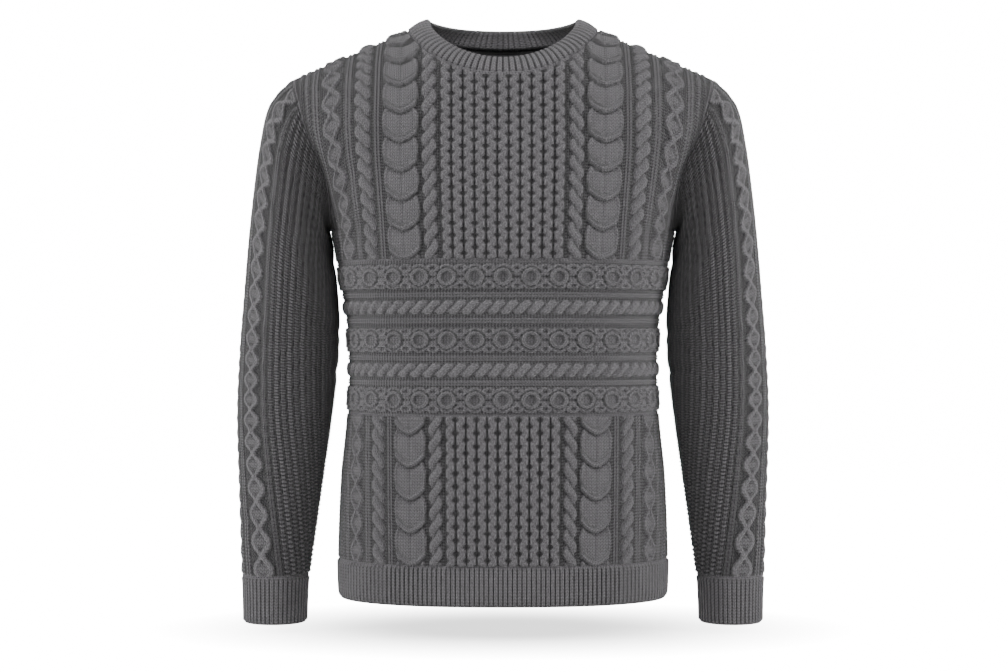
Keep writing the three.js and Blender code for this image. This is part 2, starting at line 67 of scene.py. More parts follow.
bodyForm = {
    "wall": 2.6,
    "seamGap": 0.3,
    "underarm": -235,
    "neckHalf": 112,
    "neckFrontDrop": 62,
    "neckBackDrop": 8,
    "slope": 0.42,
    "tipX": 245,
    "ridgeRise": 48,
    "ridgePower": 1.5,
    "rollHeight": 110,
    "rollPower": 1.7,
    "sectionPower": 2.4,
    "patternHalf": 150,
}
tipHeight = -bodyForm["slope"] * (bodyForm["tipX"] - bodyForm["neckHalf"])

# Horizontal sections: height, half span, front depth, back depth, width of the cable columns
sectionColumns = ("height", "halfSpan", "front", "back", "pattern")
sections = np.array([
    (-662, 190.5, 116, 114, 0.9),
    (-617, 191.6, 117, 117, 0.9),
    (-523, 188.2, 116, 112, 0.91),
    (-440, 180.6, 115, 103, 0.92),
    (-353, 181.2, 119, 108, 0.93),
    (-290, 190.6, 124, 117, 0.95),
    (-235, 200, 125, 124, 0.97),
    (-208, 207, 124, 125, 0.98),
    (-180, 218, 121, 124, 0.99),
    (-149, 235, 117, 121, 1),
    (-120, 263, 112, 118, 1),
    (-86, 304, 108, 114, 1),
    (-62, 380, 105, 112, 1),
    (0, 500, 101, 109, 1),
    (60, 640, 98, 106, 1),
])

# The armhole seam seen from the front: height, distance from the centre
armhole = np.array([
    (-235, 200), (-208, 200), (-184, 202), (-168, 205.5), (-149, 213),
    (-120, 226), (-100, 232.5), (-84, 237), (tipHeight, bodyForm["tipX"]),
])

# Sleeve rings: along, outer x and z, inner x and z, half depth, forward
sleeveRings = np.array([
    (0, 245, tipHeight, 200.6, -234.4, 56, 0),
    (0.035, 260, -69, 204.5, -233.5, 61, 0),
    (0.08, 274, -90, 207, -238, 65, -1),
    (0.15, 283, -130, 202.5, -250, 68, -2),
    (0.23, 289.8, -178, 199.8, -274, 69, -3),
    (0.33, 296.4, -240, 196, -310, 68, -4),
    (0.44, 302.2, -310, 194.5, -352, 65, -5),
    (0.56, 307.4, -378, 197.5, -398, 61, -7),
    (0.7, 310, -450, 204, -455, 56, -9),
    (0.85, 307.4, -535, 215, -535, 48, -12),
    (1, 303.8, levels["sleeveBottom"], 229, levels["sleeveBottom"], 37.5, -15),
])
cuffRings = np.array([
    (0, 303.8, levels["cuffTop"], 229, levels["cuffTop"], 37.5, -15),
    (0.2, 302.7, -648, 230.3, -648, 36, -15.2),
    (1, 301.6, levels["cuffBottom"], 232, levels["cuffBottom"], 34, -16),
])


# The form
def smoothTable(keys, values, at):
    # cubic through a table's points, with slopes from each point's two neighbours
    at = np.asarray(at, float)
    high = np.minimum(np.arange(len(keys)) + 1, len(keys) - 1)
    low = np.maximum(np.arange(len(keys)) - 1, 0)
    slope = (values[high] - values[low]) / (keys[high] - keys[low])
    i = np.clip(np.searchsorted(keys, at, side="left") - 1, 0, len(keys) - 2)
    span = keys[i + 1] - keys[i]
    t = np.clip((at - keys[i]) / span, 0, 1)
    bend = (2 * t - 3) * t * t
    return (values[i] * (1 + bend) - values[i + 1] * bend
            + span * t * (1 - t) * (slope[i] * (1 - t) - slope[i + 1] * t))


def sectionValue(name, height):
    return smoothTable(sections[:, 0], sections[:, sectionColumns.index(name)], height)


def ridgeHeight(x):
    out = np.abs(x)
    inside = bodyForm["ridgeRise"] * (1 - (np.minimum(out, bodyForm["neckHalf"]) / bodyForm["neckHalf"])
                                      ** bodyForm["ridgePower"])
    return np.where(out >= bodyForm["neckHalf"], -bodyForm["slope"] * (out - bodyForm["neckHalf"]), inside)


def rollShare(drop):
    left = np.clip(1 - drop / bodyForm["rollHeight"], 0, 1)
    return (1 - left ** bodyForm["rollPower"]) ** (1 / bodyForm["rollPower"])


def neckHeight(side, x):
    share = np.clip(np.abs(x) / bodyForm["neckHalf"], 0, 1)
    if side < 0:
        return -bodyForm["neckFrontDrop"] * (1 - share ** 2.4) ** 0.8
    return -bodyForm["neckBackDrop"] * (1 - share ** 2)


class SectionTable:
    # half sections at every height as x and depth over the share of their length
    def __init__(self, side):
        self.heights = np.arange(-670, 66, 2.0)
        self.shares = np.linspace(0, 1, 241)
        turn = np.linspace(0, math.pi / 2, 161)
        power = 2 / bodyForm["sectionPower"]
        self.x, self.depth, self.total, self.edge = [], [], [], []
        for height in self.heights:
            span = sectionValue("halfSpan", height)
            x = span * np.sin(turn) ** power
            y = sectionValue("front" if side < 0 else "back", height) * np.clip(np.cos(turn), 0, 1) ** power
            run = np.concatenate([[0], np.cumsum(np.hypot(np.diff(x), np.diff(y)))])
            self.total.append(run[-1])
            self.x.append(np.interp(self.shares, run / run[-1], x))
            self.depth.append(np.interp(self.shares, run / run[-1], y))
            armX = smoothTable(armhole[:, 0], armhole[:, 1], height)
            self.edge.append(run[-1] if height <= bodyForm["underarm"] else np.interp(armX, x, run))
        self.x, self.depth = np.array(self.x), np.array(self.depth)
        self.total, self.edge = np.array(self.total), np.array(self.edge)

    def at(self, flat, height):
        flat, height = np.broadcast_arrays(np.abs(flat), height)
        row = np.clip((height - self.heights[0]) / 2.0, 0, len(self.heights) - 1.001)
        i = row.astype(int)
        f = row - i
        total = self.total[i] * (1 - f) + self.total[i + 1] * f
        column = np.clip(flat / total, 0, 1) * (len(self.shares) - 1)
        j = np.minimum(column.astype(int), len(self.shares) - 2)
        g = column - j
        mix = lambda table: ((table[i, j] * (1 - g) + table[i, j + 1] * g) * (1 - f)
                             + (table[i + 1, j] * (1 - g) + table[i + 1, j + 1] * g) * f)
        return mix(self.x), mix(self.depth)

    def edgeFlat(self, height):
        row = np.clip((height - self.heights[0]) / 2.0, 0, len(self.heights) - 1.001)
        i = row.astype(int)
        f = row - i
        return self.edge[i] * (1 - f) + self.edge[i + 1] * f


halfForms = {-1: SectionTable(-1), 1: SectionTable(1)}


def bodyPoint(side, flat, height):
    x, depth = halfForms[side].at(flat, height)
    y = side * depth * rollShare(ridgeHeight(x) - height)
    return np.stack([np.sign(flat) * x, y, height + 0 * x], -1)


def bodyNormal(side, flat, height, level=None):
    # outward normal; level marks the points cut by a level seam
    step = 0.25
    sign = np.where(flat == 0, 1, np.sign(flat))
    point = bodyPoint(side, flat, height)
    inward = bodyPoint(side, flat - sign * step, height) - point
    down = bodyPoint(side, flat, height - step) - point
    normal = unit(np.cross(inward, down))
    normal[..., 1] = np.where(np.abs(point[..., 1]) < 1, 0, normal[..., 1])
    if level is not None:
        normal[..., 2] = np.where(level, 0, normal[..., 2])
    normal = unit(normal)
    outward = normal[..., 0] * point[..., 0] + normal[..., 1] * point[..., 1] + 40 * normal[..., 2]
    return normal * np.where(outward < 0, -1, 1)[..., None]


def unit(v):
    return v / np.maximum(np.linalg.norm(v, axis=-1, keepdims=True), 1e-12)


def lineFlat(side, line, height):
    scale = sectionValue("pattern", height)
    out = np.abs(line)
    inner = bodyForm["patternHalf"]
    share = np.clip((out - inner) / inner, 0, 1)
    stretched = inner * scale + share * (halfForms[side].edgeFlat(height) - inner * scale)
    return np.where(out <= inner, line * scale, np.sign(line) * stretched)


def upperPlaces(side, bottom, line, up):
    # flat place and height on a panel that runs up to the shoulders and the neck
    out = np.abs(line)
    inner = bodyForm["patternHalf"]
    share = np.clip((out - inner) / inner, 0, 1)
    topX = np.where(out <= inner, out, inner + share * (bodyForm["tipX"] - inner))
    top = np.where(topX < bodyForm["neckHalf"], neckHeight(side, topX), ridgeHeight(topX))
    left = 1 - up
    fall = 1.15 * left ** 1.65 / (left ** 0.65 + 0.15)
    height = top - (top - bottom) * fall
    return lineFlat(side, line, height), height


def levelPlaces(side, bottom, top, line, up):
    height = bottom + (top - bottom) * up + 0 * line
    return lineFlat(side, line, height), height


def armPoint(rings, turn, along):
    pick = lambda k: smoothTable(rings[:, 0], rings[:, k], along)
    angle = turn * 2 * math.pi
    half = 0.5 * np.cos(angle)
    x = pick(1) * (0.5 + half) + pick(3) * (0.5 - half)
    z = pick(2) * (0.5 + half) + pick(4) * (0.5 - half)
    y = pick(6) - pick(5) * np.sin(angle)
    return np.stack([x, y, z], -1)


def armholePlace(turn):
    angle = turn * 2 * math.pi
    middle = (tipHeight + bodyForm["underarm"]) / 2
    height = middle + (tipHeight - middle) * np.cos(angle)
    return np.sin(angle) > 0, height, middle


def armholeEnd(turn, lift=0.0):
    # seam point of the sleeve, lifted along the body's normal
    front, height, middle = armholePlace(turn)
    points = {}
    for side in (-1, 1):
        flat = halfForms[side].edgeFlat(height)
        points[side] = bodyPoint(side, flat, height) + lift * bodyNormal(side, flat, height)
    point = np.where(front[..., None], points[-1], points[1])
    inward = np.stack([0 * height, -point[..., 1], middle - point[..., 2]], -1)
    point = point + 0.5 * unit(inward)
    point[..., 0] += 0.4
    return point


def sleevePoint(turn, along):
    ring = armPoint(sleeveRings, turn, along)
    reach = np.clip(1 - along / 0.22, 0, 1)
    pull = armholeEnd(turn) - armPoint(sleeveRings, turn, 0 * along)
    return ring + pull * (reach * reach * (3 - 2 * reach))[..., None]


collarForm = {"rimHalf": 86, "rimSide": 14.7, "front": (92, 56.7), "back": (80, 0), "power": 1.2,
              "wall": 3.4, "bulge": 2.5, "gap": 0.5}


def collarPoint(turn, up):
    angle = turn * 2 * math.pi
    front = np.sin(angle) > 0
    x = bodyForm["neckHalf"] * np.cos(angle)
    base = np.where(front[..., None], bodyPoint(-1, x, neckHeight(-1, x)), bodyPoint(1, x, neckHeight(1, x)))
    lean = np.abs(np.sin(angle))
    depth = np.where(front, -collarForm["front"][0], collarForm["back"][0])
    drop = np.where(front, collarForm["front"][1], collarForm["back"][1])
    rim = np.stack([collarForm["rimHalf"] * np.cos(angle), depth * lean,
                    collarForm["rimSide"] - drop * lean ** collarForm["power"]], -1)
    toward = rim - base
    start = collarForm["gap"] / np.linalg.norm(toward, axis=-1)
    share = (start + (1 - start) * up)[..., None]
    point = base + toward * share
    point[..., 2] += collarForm["bulge"] * np.sin(math.pi * up)
    return point


# The cables
# Each cable gives its rise in mm and its yarn's own place: across the strand and along it.
def dome(offset, radius):
    return np.sqrt(np.clip(1 - (offset / radius) ** 2, 0, 1))


def ropeCable(across, along, cable):
    # two strands that pass over each other in turn
    half = cable["half"]
    radius = half * 0.53
    swing = half - radius
    rise, p, q = 0 * across, across, along
    for strand in (0, 1):
        phase = math.pi * along / cable["pitch"] + strand * math.pi
        sway = np.cos(phase)
        centre = cable["lean"] * swing * sway * (1.15 - 0.15 * sway ** 2)
        slant = -cable["lean"] * swing * math.pi / cable["pitch"] * np.sin(phase) * (1.15 - 0.45 * sway ** 2)
        offset = (across - centre) / np.sqrt(1 + slant ** 2)
        body = dome(offset, radius) ** 1.4
        height = cable["rise"] * np.where(body > 0, 0.62 * body + 0.38 * np.sin(phase), -1)
        top = height > rise
        p = np.where(top, offset, p)
        q = np.where(top, along + slant * offset, q)
        rise = np.maximum(rise, height)
    return rise, p, q


def scaleCable(across, along, cable):
    # broad scales one over the other, each edged by a strand that dips to a tip at the centre
    half, pitch = cable["half"], cable["pitch"]
    x = np.abs(across) / half
    drop = -along + cable["dip"] * pitch * np.minimum(x, 1.2) ** 1.7
    number = np.floor(drop / pitch)
    fromTop = drop - number * pitch
    toTip = pitch - fromTop
    slope = cable["dip"] * pitch * 1.7 * x ** 0.7 / half
    waist = half * (0.77 + 0.23 * np.sin(math.pi * np.clip(toTip / pitch * 0.9 + 0.12, 0, 1)) ** 0.8)
    toSide = waist - np.abs(across)
    toEdge = toTip / np.sqrt(1 + slope ** 2)
    lowBand = dome(toEdge - cable["band"] / 2, cable["band"] / 2)
    sideBand = dome(toSide - cable["band"] * 0.3, cable["band"] * 0.3)
    inner = np.clip(toSide / (cable["band"] * 0.3), 0, 1) ** 0.5 * np.clip(toEdge / 1.2, 0, 1) ** 0.5
    under = 1 - 0.8 * np.exp(-fromTop / 3)
    split = 1 - 0.3 * np.exp(-(across / 0.9) ** 2)
    field = 0.52 * inner * under * split
    edge = np.where(toSide > 0, np.maximum(lowBand, 0.86 * sideBand * under), 0)
    rise = cable["rise"] * np.clip(np.maximum(field, edge * np.clip(toSide / 1.2, 0, 1) ** 0.4), 0, 1)
    onBand = (lowBand > 0.1) & (toSide > 0)
    p = np.where(onBand, toEdge, across)
    q = np.where(onBand, across * np.sqrt(1 + slope ** 2), along)
    return rise, p, q


def chainCable(across, along, cable):
    # two thin strands that part round a filled eye and cross again
    half = cable["half"]
    radius = half * 0.25
    turn = 2 * math.pi * along / cable["pitch"]
    share = (0.5 - 0.5 * np.cos(turn)) ** 0.8
    swing = half * (0.1 + 0.64 * share)
    inside = np.clip((swing - np.abs(across)) / 1.5, 0, 1) ** 0.5 * share
    rise, p, q = cable["rise"] * 0.5 * inside, across, along
    for strand in (-1, 1):
        slant = strand * half * 0.32 * 2 * math.pi / cable["pitch"] * np.sin(turn)
        offset = (across - strand * swing) / np.sqrt(1 + slant ** 2)
        body = dome(offset, radius)
        height = cable["rise"] * np.where(body > 0, 0.85 * body + 0.15 * strand * np.cos(turn / 2) ** 3, -1)
        top = height > rise
        p = np.where(top, offset, p)
        q = np.where(top, along + slant * offset, q)
        rise = np.maximum(rise, height)
    return rise, p, q


def ringCable(across, along, cable):
    # rounds linked by flat strands, with a row of small arcs above and below
    pitch, radius, thick = cable["pitch"], cable["ring"], cable["thick"]
    beat = (along / pitch + 0.5) % 1 - 0.5
    away = beat * pitch
    reach = np.hypot(away, across * 1.05)
    ring = dome(reach - radius, thick) ** 1.3
    cushion = 0.36 * np.clip((radius - reach) / 1.5, 0, 1) ** 0.5
    halfBeat = ((along / pitch * 2 + 0.5) % 1 - 0.5) * pitch / 2
    lens = np.hypot(halfBeat / cable["arc"][0], (np.abs(across) - cable["arc"][2]) / cable["arc"][1])
    arc = dome((lens - 0.8) * cable["arc"][1], thick * 0.62)
    arcFill = 0.3 * np.clip((0.9 - lens) * 4, 0, 1)
    outside = np.clip((reach - radius - thick * 0.7) / 1.5, 0, 1)
    link = 0.62 * outside * np.clip((5.2 - np.abs(across)) / 1.2, 0, 1) ** 0.5
    link = link * (1 - 0.95 * np.exp(-(across / 1.3) ** 2)) * (0.9 + 0.1 * np.cos(2 * math.pi * across / 2.6))
    rise = cable["rise"] * np.clip(np.maximum.reduce([ring, cushion, 0.8 * arc * outside, arcFill * outside,
                                                      link]), 0, 1)
    onRing = ring > 0.1
    return rise, np.where(onRing, reach, across), np.where(onRing, np.arctan2(away, across) * radius, along)


def combCable(across, along, cable):
    # honeycomb: each strand swings to one neighbour and then to the other, round slits down the middle
    cell, swingShare = cable["cell"], cable["swing"]
    place = across / cell + 0.5
    index = np.floor(place)
    side = np.where(index % 2 == 0, 1, -1)
    turn = 2 * math.pi * along / cable["pitch"]
    swing = cell * swingShare * np.cos(turn) * side
    slant = -cell * swingShare * 2 * math.pi / cable["pitch"] * np.sin(turn) * side
    middle = place - index - 0.5
    offset = (middle * cell - swing) / np.sqrt(1 + slant ** 2)
    body = np.maximum(dome(offset, cell * cable["fat"]), 0.22)
    slit = np.exp(-((0.5 - np.abs(middle)) * cell / cable["slit"]) ** 2)
    rise = cable["rise"] * np.clip(body - (0.28 + 0.62 * body) * slit, 0, 1)
    return rise, offset, along + slant * offset


def ridgeCable(across, along, cable):
    # pair of plain wales
    share = np.clip((across / cable["half"] + 1) / 2, 0, 1)
    body = np.abs(np.sin(2 * math.pi * share)) ** 0.6 * (0.88 + 0.12 * np.cos(2 * math.pi * along / 3.4))
    return cable["rise"] * body, (share * 2 % 1 - 0.5) * cable["half"], along


def beadCable(across, along, cable):
    # fisherman's rib, with its tucked stitches standing as beads
    share = across / cable["pitch"]
    index = np.floor(share)
    t = share - index
    beat = 0.5 + 0.5 * np.cos(2 * math.pi * (along / cable["bead"] + 0.5 * (index % 2)))
    body = np.clip(np.sin(math.pi * t), 0, 1) ** 0.7 * (1 - cable.get("nick", 0.45) * (1 - beat))
    return cable["rise"] * body, (t - 0.5) * cable["pitch"], along


cableMakers = {"rope": ropeCable, "scale": scaleCable, "chain": chainCable, "ring": ringCable,
               "ridge": ridgeCable, "comb": combCable, "bead": beadCable}


def layCables(cables, across, along, rise, p, q):
    # put each cable where it lies in a fabric; across is the distance from the fabric's own line
    ground = rise
    for cable in cables:
        low, high = cable["span"]
        inside = (across >= low) & (across <= high)
        fixed = cable["kind"] in ("comb", "bead")
        local = across - (cable.get("start", 0) if fixed else (low + high) / 2)
        h, cp, cq = cableMakers[cable["kind"]](local, along, dict(cable, half=(high - low) / 2))
        if not fixed:
            h = np.maximum(h, ground)
        rise = np.where(inside, h, rise)
        p = np.where(inside, cp, p)
        q = np.where(inside, cq, q)
    return rise, p, q


uprightCables = [
    {"kind": "comb", "span": (-71, 71), "cell": 12.87, "pitch": 13.4, "swing": 0.19, "fat": 0.345,
     "slit": 0.95, "rise": 4.8},
    {"kind": "rope", "span": (74, 92), "pitch": 18.8, "lean": 1, "rise": 5.4},
    {"kind": "scale", "span": (94.5, 136.5), "pitch": 33, "dip": 0.36, "band": 6.2, "rise": 5.4},
    {"kind": "ridge", "span": (139, 146.5), "rise": 2.6},
    {"kind": "rope", "span": (149, 169.5), "pitch": 18.8, "lean": -1, "rise": 5.4},
    {"kind": "ridge", "span": (172.5, 181), "rise": 2.6},
    {"kind": "chain", "span": (184, 209), "pitch": 30, "rise": 4.8},
    {"kind": "ridge", "span": (212.5, 221), "rise": 2.6},
    {"kind": "bead", "span": (223, 400), "start": 223, "pitch": 8.4, "bead": 5, "rise": 2.6},
]
ringForm = {"ring": 8.4, "thick": 2.5, "arc": (7.2, 4.2, 9.6)}
bandCables = [
    {"kind": "ridge", "span": (-1, 4), "rise": 2.2},
    {"kind": "ring", "span": (5, 33), "pitch": 31.3, "rise": 5.2, **ringForm},
    {"kind": "ridge", "span": (36, 42), "rise": 2.8},
    {"kind": "rope", "span": (44.5, 61.5), "pitch": 14.6, "lean": 1, "rise": 5.2},
    {"kind": "ridge", "span": (65, 71.5), "rise": 2.8},
    {"kind": "ring", "span": (75.5, 104), "pitch": 31.3, "rise": 5.2, **ringForm},
    {"kind": "ridge", "span": (107.5, 113.5), "rise": 2.8},
    {"kind": "rope", "span": (115.5, 132.5), "pitch": 14.6, "lean": 1, "rise": 5.2},
    {"kind": "ridge", "span": (135.5, 141.5), "rise": 2.8},
    {"kind": "ring", "span": (143.5, 171.5), "pitch": 31.3, "rise": 5.2, **ringForm},
    {"kind": "ridge", "span": (172, 176), "rise": 2.2},
]
sleeveCables = [
    {"kind": "rope", "span": (-10, 10), "pitch": 19, "lean": 1, "rise": 2.6},
    {"kind": "ridge", "span": (13, 21), "rise": 2.4},
    {"kind": "ridge", "span": (25, 34), "rise": 2.4},
    {"kind": "chain", "span": (37.5, 62.5), "pitch": 28, "rise": 4.2},
    {"kind": "ridge", "span": (65, 71), "rise": 2.4},
    {"kind": "bead", "span": (73, 400), "start": 73, "pitch": 7.4, "bead": 1, "nick": 0.85, "rise": 3.8},
]


groundRise = 1.0  # plain knit between the cables


def easedIn(distance, reach, least):
    # the least share at an edge, all of it a reach inside
    return least + (1 - least) * np.clip(distance / reach, 0, 1)


def uprightRise(pitchScale):
    cables = [dict(c, pitch=c["pitch"] * pitchScale) if c["kind"] in ("comb", "scale") else c
              for c in uprightCables]

    def rise(place, run):
        out = np.abs(place)
        blank = 0 * place
        h, p, q = layCables(cables[1:], out, run, blank + groundRise, out, run)
        comb = out < 71
        h = h * easedIn(out.max(axis=0) - out, 12, 0.25)
        ch, cp, cq = combCable(place, run, cables[0])
        return np.where(comb, ch, h), np.where(comb, cp, p), np.where(comb, cq, q)
    return rise


# Meshes
def zipStrip(first, second):
    # triangles between two rows of (index, place) with places from 0 to 1
    faces, i, j = [], 0, 0
    while i < len(first) - 1 or j < len(second) - 1:
        nextFirst = first[i + 1][1] if i < len(first) - 1 else 2
        nextSecond = second[j + 1][1] if j < len(second) - 1 else 2
        if nextFirst <= nextSecond:
            faces.append((first[i + 1][0], first[i][0], second[j][0]))
            i += 1
        else:
            faces.append((second[j][0], second[j + 1][0], first[i][0]))
            j += 1
    return faces


def quadFaces(ids, turned=False):
    a, b, c, d = ids[:-1, :-1], ids[1:, :-1], ids[1:, 1:], ids[:-1, 1:]
    order = (a, d, c, b) if turned else (a, b, c, d)
    return np.stack(order, -1).reshape(-1, 4)


def gridRims(ids, lines, rows):
    sides = [(ids[:, 0], lines), (ids[-1, :], rows), (ids[::-1, -1], lines[::-1]), (ids[0, ::-1], rows[::-1])]
    rims = []
    for idRow, places in sides:
        share = (places - places[0]) / (places[-1] - places[0])
        rims.append(list(zip(idRow.tolist(), share.tolist())))
    return rims


def makeMesh(name, points, quads, triangles, stitch, hollowShade, material):
    # one closed body, faces outward, with the yarn's own places as UV
    faces = np.concatenate([quads.ravel(), triangles.ravel()]).astype(np.int32)
    sizes = np.concatenate([np.full(len(quads), 4), np.full(len(triangles), 3)]).astype(np.int32)
    starts = np.concatenate([[0], np.cumsum(sizes)[:-1]]).astype(np.int32)
    fan = np.concatenate([quads[:, [0, 1, 2]], quads[:, [0, 2, 3]], triangles])
    corner = points[fan]
    volume = np.einsum("ij,ij->i", corner[:, 0], np.cross(corner[:, 1], corner[:, 2])).sum()
    mesh = bpy.data.meshes.new(name)
    mesh.vertices.add(len(points))
    mesh.vertices.foreach_set("co", (points * mm).astype(np.float32).ravel())
    mesh.loops.add(len(faces))
    mesh.loops.foreach_set("vertex_index", faces)
    mesh.polygons.add(len(sizes))
    mesh.polygons.foreach_set("loop_start", starts)
    mesh.update(calc_edges=True)
    uv = mesh.uv_layers.new(name="stitchPlace")
    uv.data.foreach_set("uv", (stitch[faces] * 0.1).astype(np.float32).ravel())
    # painted shade attribute: darker deep between the cables, on the cut rims and on the insides
    depth = mesh.attributes.new("hollowShade", "FLOAT", "POINT")
    depth.data.foreach_set("value", hollowShade.astype(np.float32))
    if volume < 0:
        mesh.flip_normals()
    mesh.polygons.foreach_set("use_smooth", np.ones(len(sizes), bool))
    mesh.materials.append(material)
    piece = bpy.data.objects.new(name, mesh)
    bpy.context.scene.collection.objects.link(piece)
    return piece


def edgeFade(lines, rows, run, reach=2.5):
    # 0 on the panel's edges, 1 a little inside them
    width = np.abs(lines - lines[0])[:, None] + 0 * rows[None, :]
    width = np.minimum(width, np.abs(lines[-1] - lines)[:, None])
    length = np.minimum(run, run[:, -1:] - run)
    return np.clip(np.minimum(width, length) / reach, 0, 1) ** 0.5


# crest is the rise where the painted groove shade ends; rimShade, inShade and tubeInShade are painted shade on
# the cut rims and the insides
clothForm = {"lift": 0.3, "crest": 2.4, "rimShade": 0.6, "inShade": 0.3, "tubeInShade": 0.45}  # mm and shares
tubeRound = 400  # mm of cloth round any tube, for the stitches


# painted shade from the rise: full at a groove's bottom, none from the crest up
def hollowShadeOf(rise):
    return np.clip(1 - rise / clothForm["crest"], 0, 1)


def knitPanel(name, material, side, placesAt, lines, rows, riseAt, seamLevels, wall, coarse, creases=()):
    # shell of a panel: fine raised outside, plain inside
    lineGrid, rowGrid = np.meshgrid(lines, rows, indexing="ij")
    flat, height = placesAt(lineGrid, rowGrid)
    base = bodyPoint(side, flat, height)
    base[..., 1] += side * bodyForm["seamGap"] / 2
    level = np.zeros(base.shape[:2], bool)
    if "bottom" in seamLevels:
        level[:, 0] = True
    if "top" in seamLevels:
        level[:, -1] = True
    normal = bodyNormal(side, flat, height, level)
    step = np.linalg.norm(np.diff(base, axis=1), axis=-1)
    run = np.concatenate([np.zeros((len(lines), 1)), np.cumsum(step, axis=1)], axis=1)
    rise, p, q = riseAt(flat / sectionValue("pattern", height), run, height)
    fade = edgeFade(lines, rows, run)
    dent = creaseDepth(creases, flat, height)
    lifted = base + normal * ((rise + clothForm["lift"]) * fade + dent * fade)[..., None]
    points = [lifted.reshape(-1, 3)]
    outer = np.arange(lineGrid.size).reshape(lineGrid.shape)
    hollowShade = [hollowShadeOf(rise).ravel()]
    stitch = [np.stack([p, q], -1).reshape(-1, 2)]
    count = lineGrid.size
    # inner rim, as fine as the outer one
    rimMask = np.zeros(lineGrid.shape, bool)
    rimMask[[0, -1], :] = True
    rimMask[:, [0, -1]] = True
    rimIds = -np.ones(lineGrid.shape, int)
    rimIds[rimMask] = count + np.arange(rimMask.sum())
    points.append((base - normal * wall)[rimMask])
    hollowShade.append(np.full(rimMask.sum(), clothForm["rimShade"]))
    stitch.append(np.stack([flat, run], -1)[rimMask])
    count += rimMask.sum()
    # plain inside
    columns = np.unique(np.clip(np.arange(2, len(lines) - 2, coarse), 2, len(lines) - 3))
    levelsIn = np.unique(np.clip(np.arange(2, len(rows) - 2, coarse), 2, len(rows) - 3))
    inside = (base + normal * (dent * fade)[..., None] - normal * wall)[np.ix_(columns, levelsIn)]
    inner = count + np.arange(len(columns) * len(levelsIn)).reshape(len(columns), len(levelsIn))
    points.append(inside.reshape(-1, 3))
    hollowShade.append(np.full(inner.size, clothForm["inShade"]))
    stitch.append(np.stack([run, flat], -1)[np.ix_(columns, levelsIn)].reshape(-1, 2))
    quads = np.concatenate([quadFaces(outer), quadFaces(inner, True)])
    triangles = []
    outerRims = gridRims(outer, lines, rows)
    lowRims = gridRims(rimIds, lines, rows)
    innerRims = gridRims(inner, lines[columns], rows[levelsIn])
    for a, b, c in zip(outerRims, lowRims, innerRims):
        triangles += zipStrip(a, b)
        triangles += zipStrip(b, c)
    piece = makeMesh(name, np.concatenate(points), quads, np.array(triangles), np.concatenate(stitch),
                     np.concatenate(hollowShade), material)
    return piece


def knitTube(name, material, pointAt, turns, rows, riseAt, wall, coarse, startInner=None, rowsGoUp=False,
             mirror=False, dentAt=None, innerRise=0.0):
    # shell of a tube open at both ends: fine raised outside, plain inside or with a share of the same ribs
    turn = np.arange(turns) / turns
    turnGrid, rowGrid = np.meshgrid(turn, rows, indexing="ij")
    base = pointAt(turnGrid, rowGrid)
    aroundStep = (np.roll(base, -1, axis=0) - np.roll(base, 1, axis=0))
    alongStep = np.gradient(base, axis=1)
    normal = np.cross(alongStep, aroundStep) * (1 if rowsGoUp else -1)
    if not rowsGoUp:
        normal[:, -1, 2] = 0
        if startInner is None:
            normal[:, 0, 2] = 0
    normal = unit(normal)
    step = np.linalg.norm(np.diff(base, axis=1), axis=-1)
    run = np.concatenate([np.zeros((turns, 1)), np.cumsum(step, axis=1)], axis=1)
    rise, p, q = riseAt(turnGrid, rowGrid, run)
    length = np.minimum(run, run[:, -1:] - run)
    fade = np.clip(length / 2.5, 0, 1) ** 0.5
    dent = dentAt(turnGrid, rowGrid) * fade if dentAt is not None else 0 * rise
    lifted = base + normal * ((rise + clothForm["lift"]) * fade + dent)[..., None]
    sunk = base - normal * (wall + innerRise * rise * fade)[..., None] + normal * dent[..., None]
    if startInner is not None:
        sunk[:, 0] = startInner(turn)
    outer = np.arange(turns * len(rows)).reshape(turns, len(rows))
    wrap = lambda ids: np.concatenate([ids, ids[:1]])
    points, hollowShade = [lifted.reshape(-1, 3)], [hollowShadeOf(rise).ravel()]
    stitch = [np.stack([p, q], -1).reshape(-1, 2)]
    count = outer.size
    rims = []
    for row in (0, -1):
        ids = count + np.arange(turns)
        points.append(sunk[:, row])
        hollowShade.append(np.full(turns, clothForm["rimShade"]))
        stitch.append(np.stack([turn * tubeRound, run[:, row]], -1))
        count += turns
        rims.append(ids)
    columns = np.arange(0, turns, coarse)
    levelsIn = np.unique(np.clip(np.arange(1, len(rows) - 1, coarse), 1, len(rows) - 2))
    if len(levelsIn) < 2:
        levelsIn = np.array([1, len(rows) - 2])
    inner = count + np.arange(len(columns) * len(levelsIn)).reshape(len(columns), len(levelsIn))
    points.append(sunk[np.ix_(columns, levelsIn)].reshape(-1, 3))
    # painted shade on the inside; the collar's inner ribs take it from their own rise
    shade = np.full(inner.size, clothForm["inShade"])
    if innerRise:
        shade = hollowShadeOf(rise)[np.ix_(columns, levelsIn)].ravel()
    hollowShade.append(clothForm["tubeInShade"] * shade)
    stitch.append(np.stack([run, turnGrid * tubeRound], -1)[np.ix_(columns, levelsIn)].reshape(-1, 2))
    quads = np.concatenate([quadFaces(wrap(outer)), quadFaces(wrap(inner), True)])
    loop = lambda ids, places: list(zip(ids.tolist() + [int(ids[0])], places.tolist() + [1.0]))
    start, end = loop(outer[:, 0], turn), loop(outer[:, -1], turn)
    startLow, endLow = loop(rims[0], turn), loop(rims[1], turn)
    startIn, endIn = loop(inner[:, 0], turn[columns]), loop(inner[:, -1], turn[columns])
    triangles = zipStrip(start, startLow) + zipStrip(startLow, startIn)
    triangles += zipStrip(endIn, endLow) + zipStrip(endLow, end)
    points = np.concatenate(points)
    if mirror:
        points = points * np.array([-1, 1, 1])
    return makeMesh(name, points, quads, np.array(triangles), np.concatenate(stitch), np.concatenate(hollowShade),
                    material)


